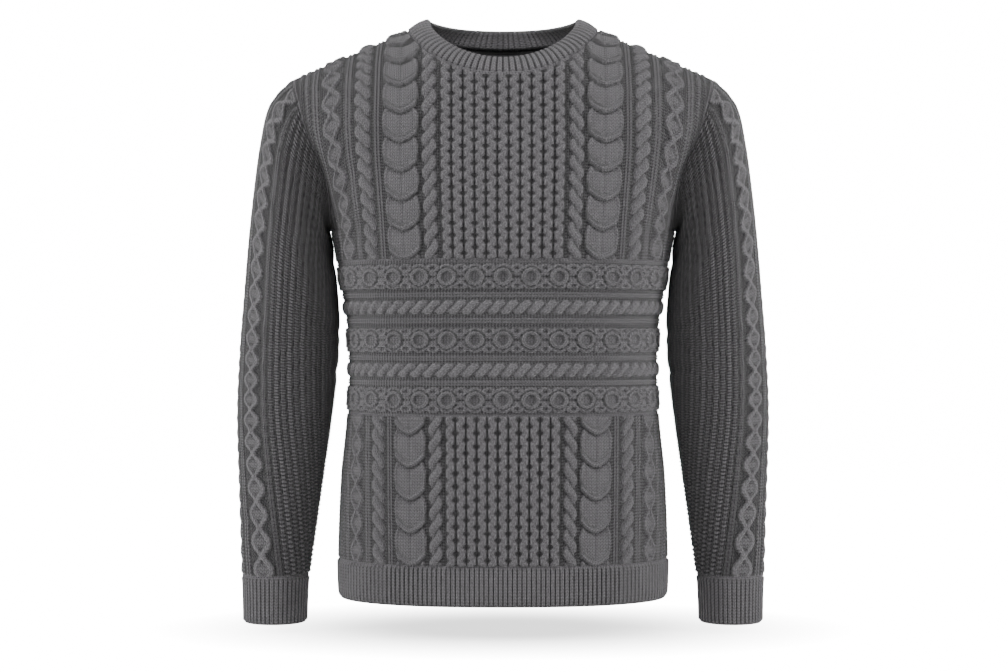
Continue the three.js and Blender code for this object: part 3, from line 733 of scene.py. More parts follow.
def creaseDepth(creases, across, along):
    # soft folds, given one by one: place across and along, turn, length, width, depth and bow of each
    total = 0 * across
    for a, b, turn, long, wide, deep, bow in creases:
        turn = math.radians(turn)
        u = (across - a) * math.cos(turn) + (along - b) * math.sin(turn)
        v = -(across - a) * math.sin(turn) + (along - b) * math.cos(turn)
        v = v + bow * (u / long) ** 2
        total = total - deep * np.exp(-(u / long) ** 2 - (v / wide) ** 2)
    return total


# Materials
def socket(tree, name, kind, inOut, default=None):
    made = tree.interface.new_socket(name, in_out=inOut, socket_type=kind)
    if default is not None:
        made.default_value = default
    return made


def mathNode(tree, operation, a, b=None, clamp=False):
    node = tree.nodes.new("ShaderNodeMath")
    node.operation = operation
    node.use_clamp = clamp
    for index, value in enumerate((a, b)):
        if value is None:
            continue
        if hasattr(value, "is_output"):
            tree.links.new(value, node.inputs[index])
        else:
            node.inputs[index].default_value = value
    return node.outputs[0]


def stitchGroup():
    # V shaped stitches from the yarn's own places in mm / 10
    tree = bpy.data.node_groups.new("knitStitch", "ShaderNodeTree")
    socket(tree, "Place", "NodeSocketVector", "INPUT")
    socket(tree, "Wale", "NodeSocketFloat", "INPUT", 0.34)
    socket(tree, "Course", "NodeSocketFloat", "INPUT", 0.27)
    socket(tree, "Height", "NodeSocketFloat", "OUTPUT")
    socket(tree, "Rung", "NodeSocketFloat", "OUTPUT")
    begin = tree.nodes.new("NodeGroupInput")
    end = tree.nodes.new("NodeGroupOutput")
    split = tree.nodes.new("ShaderNodeSeparateXYZ")
    tree.links.new(begin.outputs["Place"], split.inputs[0])
    across = mathNode(tree, "DIVIDE", split.outputs[0], begin.outputs["Wale"])
    along = mathNode(tree, "DIVIDE", split.outputs[1], begin.outputs["Course"])
    t = mathNode(tree, "PINGPONG", across, 0.5)
    leaned = mathNode(tree, "ADD", along, mathNode(tree, "MULTIPLY", t, 1.6))
    leg = mathNode(tree, "PINGPONG", leaned, 0.5)
    legRise = mathNode(tree, "SINE", mathNode(tree, "MULTIPLY", leg, math.pi))
    side = mathNode(tree, "SINE", mathNode(tree, "MULTIPLY", t, 2 * math.pi))
    both = mathNode(tree, "MULTIPLY", legRise, mathNode(tree, "POWER", side, 0.6))
    tree.links.new(both, end.inputs["Height"])
    tree.links.new(mathNode(tree, "MULTIPLY", mathNode(tree, "PINGPONG", along, 0.5), 2.0), end.inputs["Rung"])
    return tree


def marlGroup():
    # flecked wool: light and dark fibres over the base, with fuzz
    tree = bpy.data.node_groups.new("marledWool", "ShaderNodeTree")
    socket(tree, "Base", "NodeSocketColor", "INPUT", (0.14, 0.13, 0.14, 1))
    socket(tree, "Light", "NodeSocketColor", "INPUT", (0.3, 0.3, 0.31, 1))
    socket(tree, "Dark", "NodeSocketColor", "INPUT", (0.03, 0.03, 0.032, 1))
    socket(tree, "Fleck", "NodeSocketFloat", "INPUT", 700.0)
    socket(tree, "Color", "NodeSocketColor", "OUTPUT")
    socket(tree, "Fuzz", "NodeSocketFloat", "OUTPUT")
    begin = tree.nodes.new("NodeGroupInput")
    end = tree.nodes.new("NodeGroupOutput")
    place = tree.nodes.new("ShaderNodeTexCoord")
    links = tree.links

    def noise(scale, detail):
        node = tree.nodes.new("ShaderNodeTexNoise")
        links.new(place.outputs["Object"], node.inputs["Vector"])
        if hasattr(scale, "is_output"):
            links.new(scale, node.inputs["Scale"])
        else:
            node.inputs["Scale"].default_value = scale
        node.inputs["Detail"].default_value = detail
        return node.outputs["Fac"]

    def mixed(low, high, factor):
        node = tree.nodes.new("ShaderNodeMix")
        node.data_type = "RGBA"
        links.new(factor, node.inputs["Factor"])
        links.new(low, node.inputs[6])
        links.new(high, node.inputs[7])
        return node.outputs[2]

    flecks = noise(begin.outputs["Fleck"], 2.0)
    lightMask = mathNode(tree, "MULTIPLY", mathNode(tree, "SUBTRACT", flecks, 0.54), 5.0, True)
    darkMask = mathNode(tree, "MULTIPLY", mathNode(tree, "SUBTRACT", 0.45, flecks), 5.0, True)
    cloud = noise(38.0, 1.0)
    shade = mathNode(tree, "MULTIPLY", mathNode(tree, "SUBTRACT", cloud, 0.4), 0.9, True)
    color = mixed(begin.outputs["Base"], begin.outputs["Light"], mathNode(tree, "MULTIPLY", lightMask, 0.42))
    color = mixed(color, begin.outputs["Dark"], mathNode(tree, "MULTIPLY", darkMask, 0.4))
    color = mixed(color, begin.outputs["Dark"], mathNode(tree, "MULTIPLY", shade, 0.12))
    fuzz = noise(2600.0, 3.0)
    links.new(color, end.inputs["Color"])
    links.new(fuzz, end.inputs["Fuzz"])
    return tree


groups = {"stitch": stitchGroup(), "marl": marlGroup()}


def woolMaterial(name, look):
    # knit: flecked wool, stitches, and painted shade: darker between the cables, between the stitch legs and on
    # the purl rungs
    material = bpy.data.materials.new(name)
    material.use_nodes = True
    tree = material.node_tree
    shader = tree.nodes["Principled BSDF"]
    marl = tree.nodes.new("ShaderNodeGroup")
    marl.node_tree = groups["marl"]
    marl.inputs["Base"].default_value = (*look["base"], 1)
    marl.inputs["Light"].default_value = (*look["light"], 1)
    marl.inputs["Dark"].default_value = (*look["dark"], 1)
    stitch = tree.nodes.new("ShaderNodeGroup")
    stitch.node_tree = groups["stitch"]
    stitch.inputs["Wale"].default_value = look["wale"]
    stitch.inputs["Course"].default_value = look["course"]
    place = tree.nodes.new("ShaderNodeUVMap")
    place.uv_map = "stitchPlace"
    tree.links.new(place.outputs[0], stitch.inputs["Place"])
    # painted shade in the hollows between the cables, read from the mesh
    depth = tree.nodes.new("ShaderNodeAttribute")
    depth.attribute_name = "hollowShade"
    hollowShade = mathNode(tree, "POWER", depth.outputs["Fac"], look["falloff"])
    hollowShade = mathNode(tree, "MULTIPLY", hollowShade, look["grooveShade"])
    # painted shade between the stitch legs
    gap = mathNode(tree, "SUBTRACT", 1.0, stitch.outputs["Height"])
    # painted shade on the purl rungs, deeper in the grooves
    weight = mathNode(tree, "ADD", mathNode(tree, "MULTIPLY", depth.outputs["Fac"], 0.85), 0.15)
    rung = mathNode(tree, "MULTIPLY", stitch.outputs["Rung"], weight)
    rung = mathNode(tree, "MULTIPLY", rung, look["rungShade"])
    shaded = mathNode(tree, "ADD", hollowShade, mathNode(tree, "MULTIPLY", gap, look["stitchGapShade"]))
    darkening = mathNode(tree, "ADD", shaded, rung, True)
    # the painted shade mixes the wool towards its dark fibre colour
    mix = tree.nodes.new("ShaderNodeMix")
    mix.data_type = "RGBA"
    tree.links.new(darkening, mix.inputs["Factor"])
    tree.links.new(marl.outputs["Color"], mix.inputs[6])
    mix.inputs[7].default_value = (*look["dark"], 1)
    tree.links.new(mix.outputs[2], shader.inputs["Base Color"])
    height = mathNode(tree, "ADD", mathNode(tree, "MULTIPLY", stitch.outputs["Height"], 1.0),
                      mathNode(tree, "MULTIPLY", marl.outputs["Fuzz"], 0.35))
    bump = tree.nodes.new("ShaderNodeBump")
    bump.inputs["Strength"].default_value = look["bump"]
    bump.inputs["Distance"].default_value = 0.0013
    tree.links.new(height, bump.inputs["Height"])
    tree.links.new(bump.outputs[0], shader.inputs["Normal"])
    shader.inputs["Roughness"].default_value = 0.95
    shader.inputs["Specular IOR Level"].default_value = 0.25
    shader.inputs["Sheen Weight"].default_value = look["sheen"]
    shader.inputs["Sheen Roughness"].default_value = 0.5
    return material


woolLook = {
    "base": (0.165, 0.158, 0.168),
    "light": (0.34, 0.335, 0.345),
    "dark": (0.03, 0.029, 0.031),
    "wale": 0.42,
    "course": 0.36,
    "grooveShade": 0.92,
    "falloff": 1.3,
    "stitchGapShade": 0.42,
    "rungShade": 0.7,
    "bump": 1.0,
    "sheen": 0.25,
}
knitMaterial = woolMaterial("marledKnit", woolLook)
# the sleeve and band are the same yarn with a lighter base, which is painted light; the sleeve takes fuller
# painted groove shade and the band less
sleeveMaterialPaintedLighter = woolMaterial("marledSleeve", dict(woolLook, grooveShade=1.0, falloff=1.0, base=(0.2, 0.192, 0.203)))
bandMaterialPaintedLighter = woolMaterial("marledBand", dict(woolLook, grooveShade=0.6, base=(0.182, 0.175, 0.185)))
ribMaterial = woolMaterial("marledRib", dict(woolLook, grooveShade=1.0, falloff=0.85, rungShade=0.15))


def labelMaterial():
    # dense dark satin weave
    material = bpy.data.materials.new("labelWeave")
    material.use_nodes = True
    tree = material.node_tree
    shader = tree.nodes["Principled BSDF"]
    place = tree.nodes.new("ShaderNodeTexCoord")
    wave = tree.nodes.new("ShaderNodeTexWave")
    wave.inputs["Scale"].default_value = 900.0
    wave.bands_direction = "Z"
    tree.links.new(place.outputs["Object"], wave.inputs["Vector"])
    ramp = tree.nodes.new("ShaderNodeValToRGB")
    ramp.color_ramp.elements[0].color = (0.012, 0.012, 0.014, 1)
    ramp.color_ramp.elements[1].color = (0.03, 0.03, 0.033, 1)
    tree.links.new(wave.outputs["Fac"], ramp.inputs[0])
    tree.links.new(ramp.outputs[0], shader.inputs["Base Color"])
    bump = tree.nodes.new("ShaderNodeBump")
    bump.inputs["Strength"].default_value = 0.4
    bump.inputs["Distance"].default_value = 0.0002
    tree.links.new(wave.outputs["Fac"], bump.inputs["Height"])
    tree.links.new(bump.outputs[0], shader.inputs["Normal"])
    shader.inputs["Roughness"].default_value = 0.6
    return material


labelCloth = labelMaterial()


def yarnMaterial(name, look):
    # loose yarn and thread: the flecked wool alone
    material = bpy.data.materials.new(name)
    material.use_nodes = True
    tree = material.node_tree
    shader = tree.nodes["Principled BSDF"]
    marl = tree.nodes.new("ShaderNodeGroup")
    marl.node_tree = groups["marl"]
    for key in ("base", "light", "dark"):
        marl.inputs[key.capitalize()].default_value = (*look[key], 1)
    marl.inputs["Fleck"].default_value = 1400.0
    bump = tree.nodes.new("ShaderNodeBump")
    bump.inputs["Strength"].default_value = 0.5
    bump.inputs["Distance"].default_value = 0.0003
    tree.links.new(marl.outputs["Fuzz"], bump.inputs["Height"])
    tree.links.new(bump.outputs[0], shader.inputs["Normal"])
    tree.links.new(marl.outputs["Color"], shader.inputs["Base Color"])
    shader.inputs["Roughness"].default_value = 0.9
    shader.inputs["Sheen Weight"].default_value = 0.2
    return material


seamYarn = yarnMaterial("seamYarn", woolLook)
labelThread = yarnMaterial("labelThread", {"base": (0.05, 0.05, 0.052), "light": (0.11, 0.11, 0.115),
                                           "dark": (0.015, 0.015, 0.016)})


def declare(piece, node):
    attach(piece, "root")
    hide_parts(node)


# The panels
def bodyLines(spacing, neckPoints=False):
    # lines lie on the slits of the honeycomb and on both edges of each cable
    inner, neck = bodyForm["patternHalf"], bodyForm["neckHalf"]
    comb = uprightCables[0]["cell"]
    even = 8
    parts = [np.arange(0, 5.5 * even + 1) * comb / even]
    stops = (5.5 * comb, 73, 75, 83, 91, 93, 95.5, neck, 115.5, 135.5, 138, 139, 140.9, 142.75, 144.6, 146.5,
             148, inner)
    for low, high in zip(stops, stops[1:]):
        parts.append(np.linspace(low, high, max(1, math.ceil((high - low) / spacing)) + 1))
    # the outer stretch covers about 100 mm of cloth with 150 lines' worth of places
    parts.append(np.linspace(inner, 2 * inner, int(105 / spacing) + 1))
    if neckPoints:
        parts.append(neck * np.cos(np.radians([2, 4, 6, 8, 10, 13])))
    out = np.concatenate(parts)
    return np.unique(np.round(np.concatenate([out, -out]), 4))


def makeUpright(name, node, side, stretch, look, creases, seamLevels, neckPoints, placesAt):
    # a panel with the upright cables
    rise = uprightRise(stretch)
    piece = knitPanel(
        name, knitMaterial, side, placesAt, bodyLines(look["spacing"], neckPoints),
        np.linspace(0, 1, look["rows"]), lambda place, run, height: rise(place, run), seamLevels,
        bodyForm["wall"], look["coarse"], creases)
    declare(piece, node)
    return piece


yokeLook = {"spacing": 1.55, "rows": 165, "coarse": 5, "flat": (0.52, 0.30), "area": 0.112}
yokeCreases = [
    (-196, -200, 62, 46, 9, 2.2, 6),
    (201, -190, -66, 40, 8, 1.9, -5),
    (-168, -236, 30, 34, 10, 1.2, 0),
    (176, -244, -24, 30, 11, 1.1, 0),
    (-150, -70, -50, 36, 14, 1.0, 0),
    (158, -84, 46, 33, 13, 1.1, 0),
]


def makeYoke():
    return makeUpright(
        "knitYoke", "front_yoke", -1, 1.0, yokeLook, yokeCreases, ("bottom",), True,
        lambda line, up: upperPlaces(-1, levels["yokeBottom"], line, up))


backLook = {"spacing": 2.0, "rows": 290, "coarse": 6, "flat": (0.52, 0.65), "area": 0.30}
backCreases = [
    (190, -210, 64, 48, 10, 2.2, 5),
    (-197, -196, -60, 44, 9, 2.0, -6),
    (60, -400, 8, 60, 13, 1.8, 6),
    (-78, -432, -10, 66, 14, 1.7, -5),
    (12, -470, 3, 70, 15, 1.4, 0),
    (-150, -90, -44, 38, 14, 1.1, 0),
    (146, -76, 50, 36, 13, 1.0, 0),
]


def makeBack():
    return makeUpright(
        "knitBack", "back", 1, 1.05, backLook, backCreases, ("bottom",), True,
        lambda line, up: upperPlaces(1, levels["backBottom"], line, up))


bandLook = {"spacing": 1.45, "coarse": 5, "tall": 175, "flat": (0.505, 0.175)}
bandCreases = [
    (-120, -380, 10, 70, 14, 1.6, 5),
    (96, -402, -8, 64, 13, 1.5, -5),
    (-178, -330, -14, 40, 12, 1.6, 0),
    (184, -342, 16, 38, 11, 1.5, 0),
]


def bandRise(place, run, height):
    tall = levels["bandTop"] - levels["bandBottom"]
    down = levels["bandTop"] - height
    flat = place * sectionValue("pattern", height)
    blank = 0 * flat
    h, p, q = layCables(bandCables, down * bandLook["tall"] / tall, flat, blank + groundRise, down, flat)
    # lies flatter towards the side seams
    inland = np.abs(flat).max(axis=0) - np.abs(flat)
    return h * easedIn(inland, 28, 0.4), p, q


def makeBand():
    # rows lie on the edges, crests and middles of the double ribs
    tall, stops = bandLook["tall"], []
    for cable in bandCables:
        low, high = cable["span"]
        steps = 4 if cable["kind"] == "ridge" else 1
        stops += [low + (high - low) * step / steps for step in range(steps + 1)]
    stops = np.unique(np.clip(stops, 0, tall))
    drops = [np.linspace(low, high, max(2, math.ceil((high - low) / bandLook["spacing"])), endpoint=False)
             for low, high in zip(stops, stops[1:]) if high > low]
    rows = 1 - np.append(np.concatenate(drops), tall)[::-1] / tall
    piece = knitPanel(
        "knitBand", bandMaterialPaintedLighter, -1,
        lambda line, up: levelPlaces(-1, levels["bandBottom"], levels["bandTop"], line, up),
        bodyLines(bandLook["spacing"]), rows,
        bandRise, ("bottom", "top"), bodyForm["wall"], bandLook["coarse"], bandCreases)
    declare(piece, "front_band")
    return piece


lowerLook = {"spacing": 1.45, "rows": 125, "coarse": 5, "flat": (0.5, 0.17)}
lowerCreases = [
    (-176, -560, 74, 44, 12, 1.4, 0),
    (170, -540, -70, 50, 13, 1.3, 0),
    (30, -500, 84, 46, 16, 0.9, 0),
]


def makeLower():
    return makeUpright(
        "knitLower", "front_lower", -1, 1.12, lowerLook, lowerCreases, ("bottom", "top"), False,
        lambda line, up: levelPlaces(-1, levels["lowerBottom"], levels["lowerTop"], line, up))


# Ribs
def ribRise(place, pitch, tall):
    share = place / pitch
    t = np.abs(share - np.floor(share) - 0.5) * 2
    return tall * np.clip(1 - t ** 4, 0, 1) ** 0.7, (share - np.floor(share) - 0.5) * pitch


hemLook = {"steps": 6, "rows": 14, "pitch": 5.9, "tall": 3.1, "coarse": 6}


def makeHem(side, node):
    def rise(place, run, height):
        h, p = ribRise(place, hemLook["pitch"], hemLook["tall"])
        swell = 1 - 0.35 * np.exp(-((run - 1) / 5) ** 2)
        return h * swell, p, run
    name = "ribHemFront" if side < 0 else "ribHemBack"
    inner, step = bodyForm["patternHalf"], hemLook["pitch"] / hemLook["steps"]
    middle = np.arange(0, inner, step)
    out = np.concatenate([middle, np.linspace(inner, 2 * inner, int(130 / step))])
    lines = np.unique(np.round(np.concatenate([out, -out]), 4))
    piece = knitPanel(
        name, ribMaterial, side,
        lambda line, up: levelPlaces(side, levels["hemBottom"], levels["hemTop"], line, up),
        lines, np.linspace(0, 1, hemLook["rows"]),
        rise, ("bottom", "top"), bodyForm["wall"], hemLook["coarse"])
    declare(piece, node)
    return piece


cuffLook = {"ribs": 46, "steps": 7, "rows": 18, "tall": 2.5, "ribWide": 4.9}


def makeCuff(node, mirror):
    def rise(turn, along, run):
        h, p = ribRise(turn * cuffLook["ribs"], 1, cuffLook["tall"])
        return h, p * cuffLook["ribWide"], run
    turns = cuffLook["ribs"] * cuffLook["steps"]
    piece = knitTube(
        "ribCuffRight" if mirror else "ribCuffLeft", ribMaterial,
        lambda turn, along: armPoint(cuffRings, turn, along),
        turns, np.linspace(0, 1, cuffLook["rows"]), rise, bodyForm["wall"], 7, mirror=mirror)
    declare(piece, node)
    return piece


collarLook = {"ribs": 92, "steps": 8, "rows": 14, "tall": 2.7, "ribWide": 6.8, "innerRise": 0.3}


def makeCollar():
    def rise(turn, along, run):
        h, p = ribRise(turn * collarLook["ribs"], 1, collarLook["tall"])
        return h, p * collarLook["ribWide"], run

    def innerStart(turn):
        angle = turn * 2 * math.pi
        x = bodyForm["neckHalf"] * np.cos(angle)
        front = np.sin(angle) > 0
        normals = {side: bodyNormal(side, x, neckHeight(side, x)) for side in (-1, 1)}
        normal = np.where(front[..., None], normals[-1], normals[1])
        return collarPoint(turn, 0 * turn) - normal * collarForm["wall"]

    rows = np.linspace(0, 1, collarLook["rows"])
    piece = knitTube(
        "ribCollar", ribMaterial, collarPoint, collarLook["ribs"] * collarLook["steps"], rows, rise,
        collarForm["wall"], 2, startInner=innerStart, rowsGoUp=True,
        innerRise=collarLook["innerRise"])
    declare(piece, "collar")
    return piece


# Sleeves
sleeveLook = {"turns": 208, "rows": 380, "startRows": 14, "startShare": 0.03, "long": 600, "startReach": 18,
              "under": 0.3, "pressed": 0.45, "coarse": 7, "flat": (0.42, 0.64), "area": 0.21}
sleeveCreases = [
    (150, 0.44, 8, 60, 10, 2.6, 6),
    (130, 0.5, -10, 56, 9, 2.2, -5),
    (165, 0.56, 5, 52, 10, 2.0, 0),
    (160, 0.2, 24, 50, 11, 2.4, 0),
    (130, 0.28, -20, 42, 10, 1.8, 0),
    (100, 0.93, 12, 40, 9, 1.6, 0),
    (70, 0.9, -9, 36, 8, 1.2, 0),
]


def outlineReach(points):
    # distance round the arm from its outer line, taken square to that line as the sleeve was knitted
    share = np.linspace(0, 1, 200)
    column = lambda k: smoothTable(sleeveRings[:, 0], sleeveRings[:, k], share)
    line = np.stack([column(1), column(2)], -1)
    inland = line[0] + np.array([[-60, 60 * bodyForm["slope"]], [-30, 30 * bodyForm["slope"]]])
    line = np.concatenate([inland, line])
    tangent = unit(np.gradient(line, axis=0))
    inward = np.stack([tangent[:, 1], -tangent[:, 0]], -1)
    width = np.minimum(np.hypot(column(1) - column(3), column(2) - column(4)) / 2, 59)
    width = np.concatenate([[width[0]] * 2, width])
    depth = np.concatenate([[67] * 2, np.where(share < 0.33, 67, column(5))])
    forward = np.concatenate([[0] * 2, column(6)])
    flat = points[..., [0, 2]].reshape(-1, 2)
    nearest = np.argmin(((flat[:, None] - line[None]) ** 2).sum(-1), axis=1)
    away = ((flat - line[nearest]) * inward[nearest]).sum(-1)
    aside = np.abs(points[..., 1].ravel() - forward[nearest]) / depth[nearest]
    angle = np.arctan2(aside, 1 - away / width[nearest])
    size = (width * depth) ** 0.5
    return (angle * size[nearest]).reshape(points.shape[:-1])


def makeSleeve(node, mirror):
    def rise(turn, along, run):
        reach = outlineReach(sleevePoint(turn, along))
        reach = np.where((reach < 11) & (turn > 0.5), -reach, reach)
        # one bead takes three rows of the grid
        cables = sleeveCables[:-1] + [dict(sleeveCables[-1], bead=3 * rowStep * sleeveLook["long"])]
        place = (along - sleeveLook["startShare"]) * sleeveLook["long"]
        h, p, q = layCables(cables, reach, place, 0 * reach + groundRise / 2, reach, place)
        # pressed flat where the arm lies against the body
        pressed = np.clip(-np.cos(2 * math.pi * turn), 0, 1) ** 2 * np.clip((0.5 - along) * 6, 0, 1)
        # and it starts slowly from the underarm seam
        under = np.clip(sleeveLook["under"] - np.cos(2 * math.pi * turn), 0, 1)
        started = 1 - under * (1 - np.clip(run / sleeveLook["startReach"], 0, 1))
        return h * (1 - sleeveLook["pressed"] * pressed) * started, p, q

    def dents(turn, along):
        around = np.minimum(turn, 1 - turn) * tubeRound
        creases = [(across, share * sleeveLook["long"], *rest) for across, share, *rest in sleeveCreases]
        return creaseDepth(creases, around, along * sleeveLook["long"])

    def innerStart(turn):
        return armholeEnd(turn, -bodyForm["wall"])

    start, count = sleeveLook["startShare"], sleeveLook["rows"]
    rowStep = (1 - start) / (count - 1)
    first = np.linspace(0, start, sleeveLook["startRows"], endpoint=False)
    rows = np.concatenate([first, np.linspace(start, 1, count)])
    piece = knitTube(
        "knitSleeveRight" if mirror else "knitSleeveLeft", sleeveMaterialPaintedLighter, sleevePoint, sleeveLook["turns"],
        rows, rise, bodyForm["wall"], sleeveLook["coarse"], startInner=innerStart, mirror=mirror, dentAt=dents)
    declare(piece, node)
    return piece


# Label
labelLook = {"half": 23, "up": (0.917, 0.983), "thick": 0.7, "gap": 0.45, "steps": (24, 16)}


def makeLabel():
    lines = np.linspace(-labelLook["half"], labelLook["half"], labelLook["steps"][0])
    rows = np.linspace(*labelLook["up"], labelLook["steps"][1])
    lineGrid, rowGrid = np.meshgrid(lines, rows, indexing="ij")
    flat, height = upperPlaces(1, levels["backBottom"], lineGrid, rowGrid)
    normal = bodyNormal(1, flat, height)
    base = bodyPoint(1, flat, height) - normal * (bodyForm["wall"] + labelLook["gap"])
    near = base - normal * labelLook["thick"]
    count = lineGrid.size
    back = np.arange(count).reshape(lineGrid.shape)
    face = back + count
    quads = np.concatenate([quadFaces(back), quadFaces(face, True)])
    triangles = []
    for a, b in zip(gridRims(back, lines, rows), gridRims(face, lines, rows)):
        triangles += zipStrip(a, b)
    piece = makeMesh("neckLabel", np.concatenate([base.reshape(-1, 3), near.reshape(-1, 3)]), quads,
                     np.array(triangles), np.zeros((2 * count, 2)), np.zeros(2 * count), labelCloth)
    declare(piece, "neck_label")
    return piece


# The linked seams and the label's stitches, laid along paths by Geometry Nodes
def linkTree():
    tree = bpy.data.node_groups.new("linkedSeam", "GeometryNodeTree")
    socket(tree, "Path", "NodeSocketGeometry", "INPUT")
    socket(tree, "Spacing", "NodeSocketFloat", "INPUT", 0.003)
    socket(tree, "Half Length", "NodeSocketFloat", "INPUT", 0.002)
    socket(tree, "Width Share", "NodeSocketFloat", "INPUT", 0.5)
    socket(tree, "Yarn", "NodeSocketFloat", "INPUT", 0.0005)
    socket(tree, "Seed", "NodeSocketInt", "INPUT", 5)
    socket(tree, "Material", "NodeSocketMaterial", "INPUT")
    socket(tree, "Links", "NodeSocketGeometry", "OUTPUT")
    begin = tree.nodes.new("NodeGroupInput")
    end = tree.nodes.new("NodeGroupOutput")
    links = tree.links
    curve = tree.nodes.new("GeometryNodeMeshToCurve")
    even = tree.nodes.new("GeometryNodeResampleCurve")
    even.mode = "LENGTH"
    ring = tree.nodes.new("GeometryNodeCurvePrimitiveCircle")
    ring.inputs["Resolution"].default_value = 6
    flat = tree.nodes.new("GeometryNodeTransform")
    scale = tree.nodes.new("ShaderNodeCombineXYZ")
    scale.inputs[0].default_value = 1
    scale.inputs[2].default_value = 1
    section = tree.nodes.new("GeometryNodeCurvePrimitiveCircle")
    section.inputs["Resolution"].default_value = 3
    loop = tree.nodes.new("GeometryNodeCurveToMesh")
    place = tree.nodes.new("GeometryNodeInstanceOnPoints")
    tangent = tree.nodes.new("GeometryNodeInputTangent")
    lie = tree.nodes.new("GeometryNodeInputNamedAttribute")
    lie.data_type = "FLOAT_VECTOR"
    lie.inputs["Name"].default_value = "lie"
    along = tree.nodes.new("FunctionNodeAlignRotationToVector")
    along.axis = "X"
    upright = tree.nodes.new("FunctionNodeAlignRotationToVector")
    upright.axis = "Z"
    upright.pivot_axis = "X"
    size = tree.nodes.new("FunctionNodeRandomValue")
    size.data_type = "FLOAT"
    size.inputs[2].default_value = 0.9
    size.inputs[3].default_value = 1.08
    real = tree.nodes.new("GeometryNodeRealizeInstances")
    paint = tree.nodes.new("GeometryNodeSetMaterial")
    links.new(begin.outputs["Path"], curve.inputs["Mesh"])
    links.new(curve.outputs["Curve"], even.inputs["Curve"])
    links.new(begin.outputs["Spacing"], even.inputs["Length"])
    links.new(begin.outputs["Half Length"], ring.inputs["Radius"])
    links.new(begin.outputs["Width Share"], scale.inputs[1])
    links.new(ring.outputs["Curve"], flat.inputs["Geometry"])
    links.new(scale.outputs[0], flat.inputs["Scale"])
    links.new(begin.outputs["Yarn"], section.inputs["Radius"])
    links.new(flat.outputs["Geometry"], loop.inputs["Curve"])
    links.new(section.outputs["Curve"], loop.inputs["Profile Curve"])
    links.new(even.outputs["Curve"], place.inputs["Points"])
    links.new(loop.outputs["Mesh"], place.inputs["Instance"])
    links.new(tangent.outputs[0], along.inputs["Vector"])
    links.new(along.outputs["Rotation"], upright.inputs["Rotation"])
    links.new(lie.outputs["Attribute"], upright.inputs["Vector"])
    links.new(upright.outputs["Rotation"], place.inputs["Rotation"])
    links.new(begin.outputs["Seed"], size.inputs["Seed"])
    links.new(size.outputs[1], place.inputs["Scale"])
    links.new(place.outputs["Instances"], real.inputs["Geometry"])
    links.new(real.outputs["Geometry"], paint.inputs["Geometry"])
    links.new(begin.outputs["Material"], paint.inputs["Material"])
    links.new(paint.outputs["Geometry"], end.inputs["Links"])
    return tree


linkedSeam = linkTree()


def layLinks(name, paths, values):
    # paths are pairs of points and normals in mm
    points = np.concatenate([path for path, lie in paths]) * mm
    normals = np.concatenate([lie for path, lie in paths])
    edges, start = [], 0
    for path, lie in paths:
        edges += [(start + i, start + i + 1) for i in range(len(path) - 1)]
        start += len(path)
    mesh = bpy.data.meshes.new(name)
    mesh.from_pydata(points.tolist(), edges, [])
    mesh.attributes.new("lie", "FLOAT_VECTOR", "POINT").data.foreach_set("vector", normals.ravel())
    piece = bpy.data.objects.new(name, mesh)
    bpy.context.scene.collection.objects.link(piece)
    modifier = piece.modifiers.new("links", "NODES")
    modifier.node_group = linkedSeam
    for item in linkedSeam.interface.items_tree:
        if item.in_out == "INPUT" and item.name in values:
            modifier[item.identifier] = values[item.name]
    made = bpy.data.meshes.new_from_object(piece.evaluated_get(bpy.context.evaluated_depsgraph_get()))
    piece.modifiers.remove(modifier)
    piece.data = made
    made.name = name
    made.polygons.foreach_set("use_smooth", [True] * len(made.polygons))
    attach(piece, "root")
    return piece


seamLinks = {"Spacing": 0.0034, "Half Length": 0.0024, "Width Share": 0.5, "Yarn": 0.0006, "Seed": 5,
             "Material": seamYarn}
seamRoom = {"level": 0.7, "armhole": 0.9, "neck": 0.9, "shoulder": 1.0, "cuff": 0.9}


def makeSeams():
    paths = []
    share = np.linspace(-1, 1, 161)
    for side, height in ((-1, levels["bandTop"] + 0.15), (-1, levels["bandBottom"] - 0.15),
                         (-1, levels["hemTop"] + 0.15), (1, levels["hemTop"] + 0.15)):
        flat = share * halfForms[side].edgeFlat(height) * 0.998
        normal = bodyNormal(side, flat, height + 0 * flat)
        paths.append((bodyPoint(side, flat, height + 0 * flat) + normal * seamRoom["level"], normal))
    x = np.linspace(bodyForm["neckHalf"] + 3, bodyForm["tipX"] - 2, 40)
    turn = np.linspace(0, 1, 161)
    for sign in (-1, 1):
        mirror = np.array([sign, 1, 1])
        lean = unit(np.stack([bodyForm["slope"] + 0 * x, 0 * x, 1 + 0 * x], -1))
        path = np.stack([x, 0 * x, ridgeHeight(x)], -1) + lean * seamRoom["shoulder"]
        paths.append((path * mirror, lean * mirror))
        seam = armholeEnd(turn, seamRoom["armhole"])
        paths.append((seam * mirror, unit(seam - armholeEnd(turn, 0)) * mirror))
        ring = armPoint(cuffRings, turn, 0 * turn)
        out = unit((ring - ring[:-1].mean(axis=0)) * np.array([1, 1, 0]))
        paths.append(((ring + out * seamRoom["cuff"]) * mirror, out * mirror))
    angle = turn * 2 * math.pi
    x = bodyForm["neckHalf"] * np.cos(angle)
    front = (np.sin(angle) > 0)[:, None]
    normal = np.where(front, bodyNormal(-1, x, neckHeight(-1, x)), bodyNormal(1, x, neckHeight(1, x)))
    paths.append((collarPoint(turn, 0 * turn) + normal * seamRoom["neck"], normal))
    piece = layLinks("seamLinks", paths, seamLinks)
    return piece


labelLinks = {"Spacing": 0.0026, "Half Length": 0.001, "Width Share": 0.3, "Yarn": 0.00022, "Seed": 9,
              "Material": labelThread}


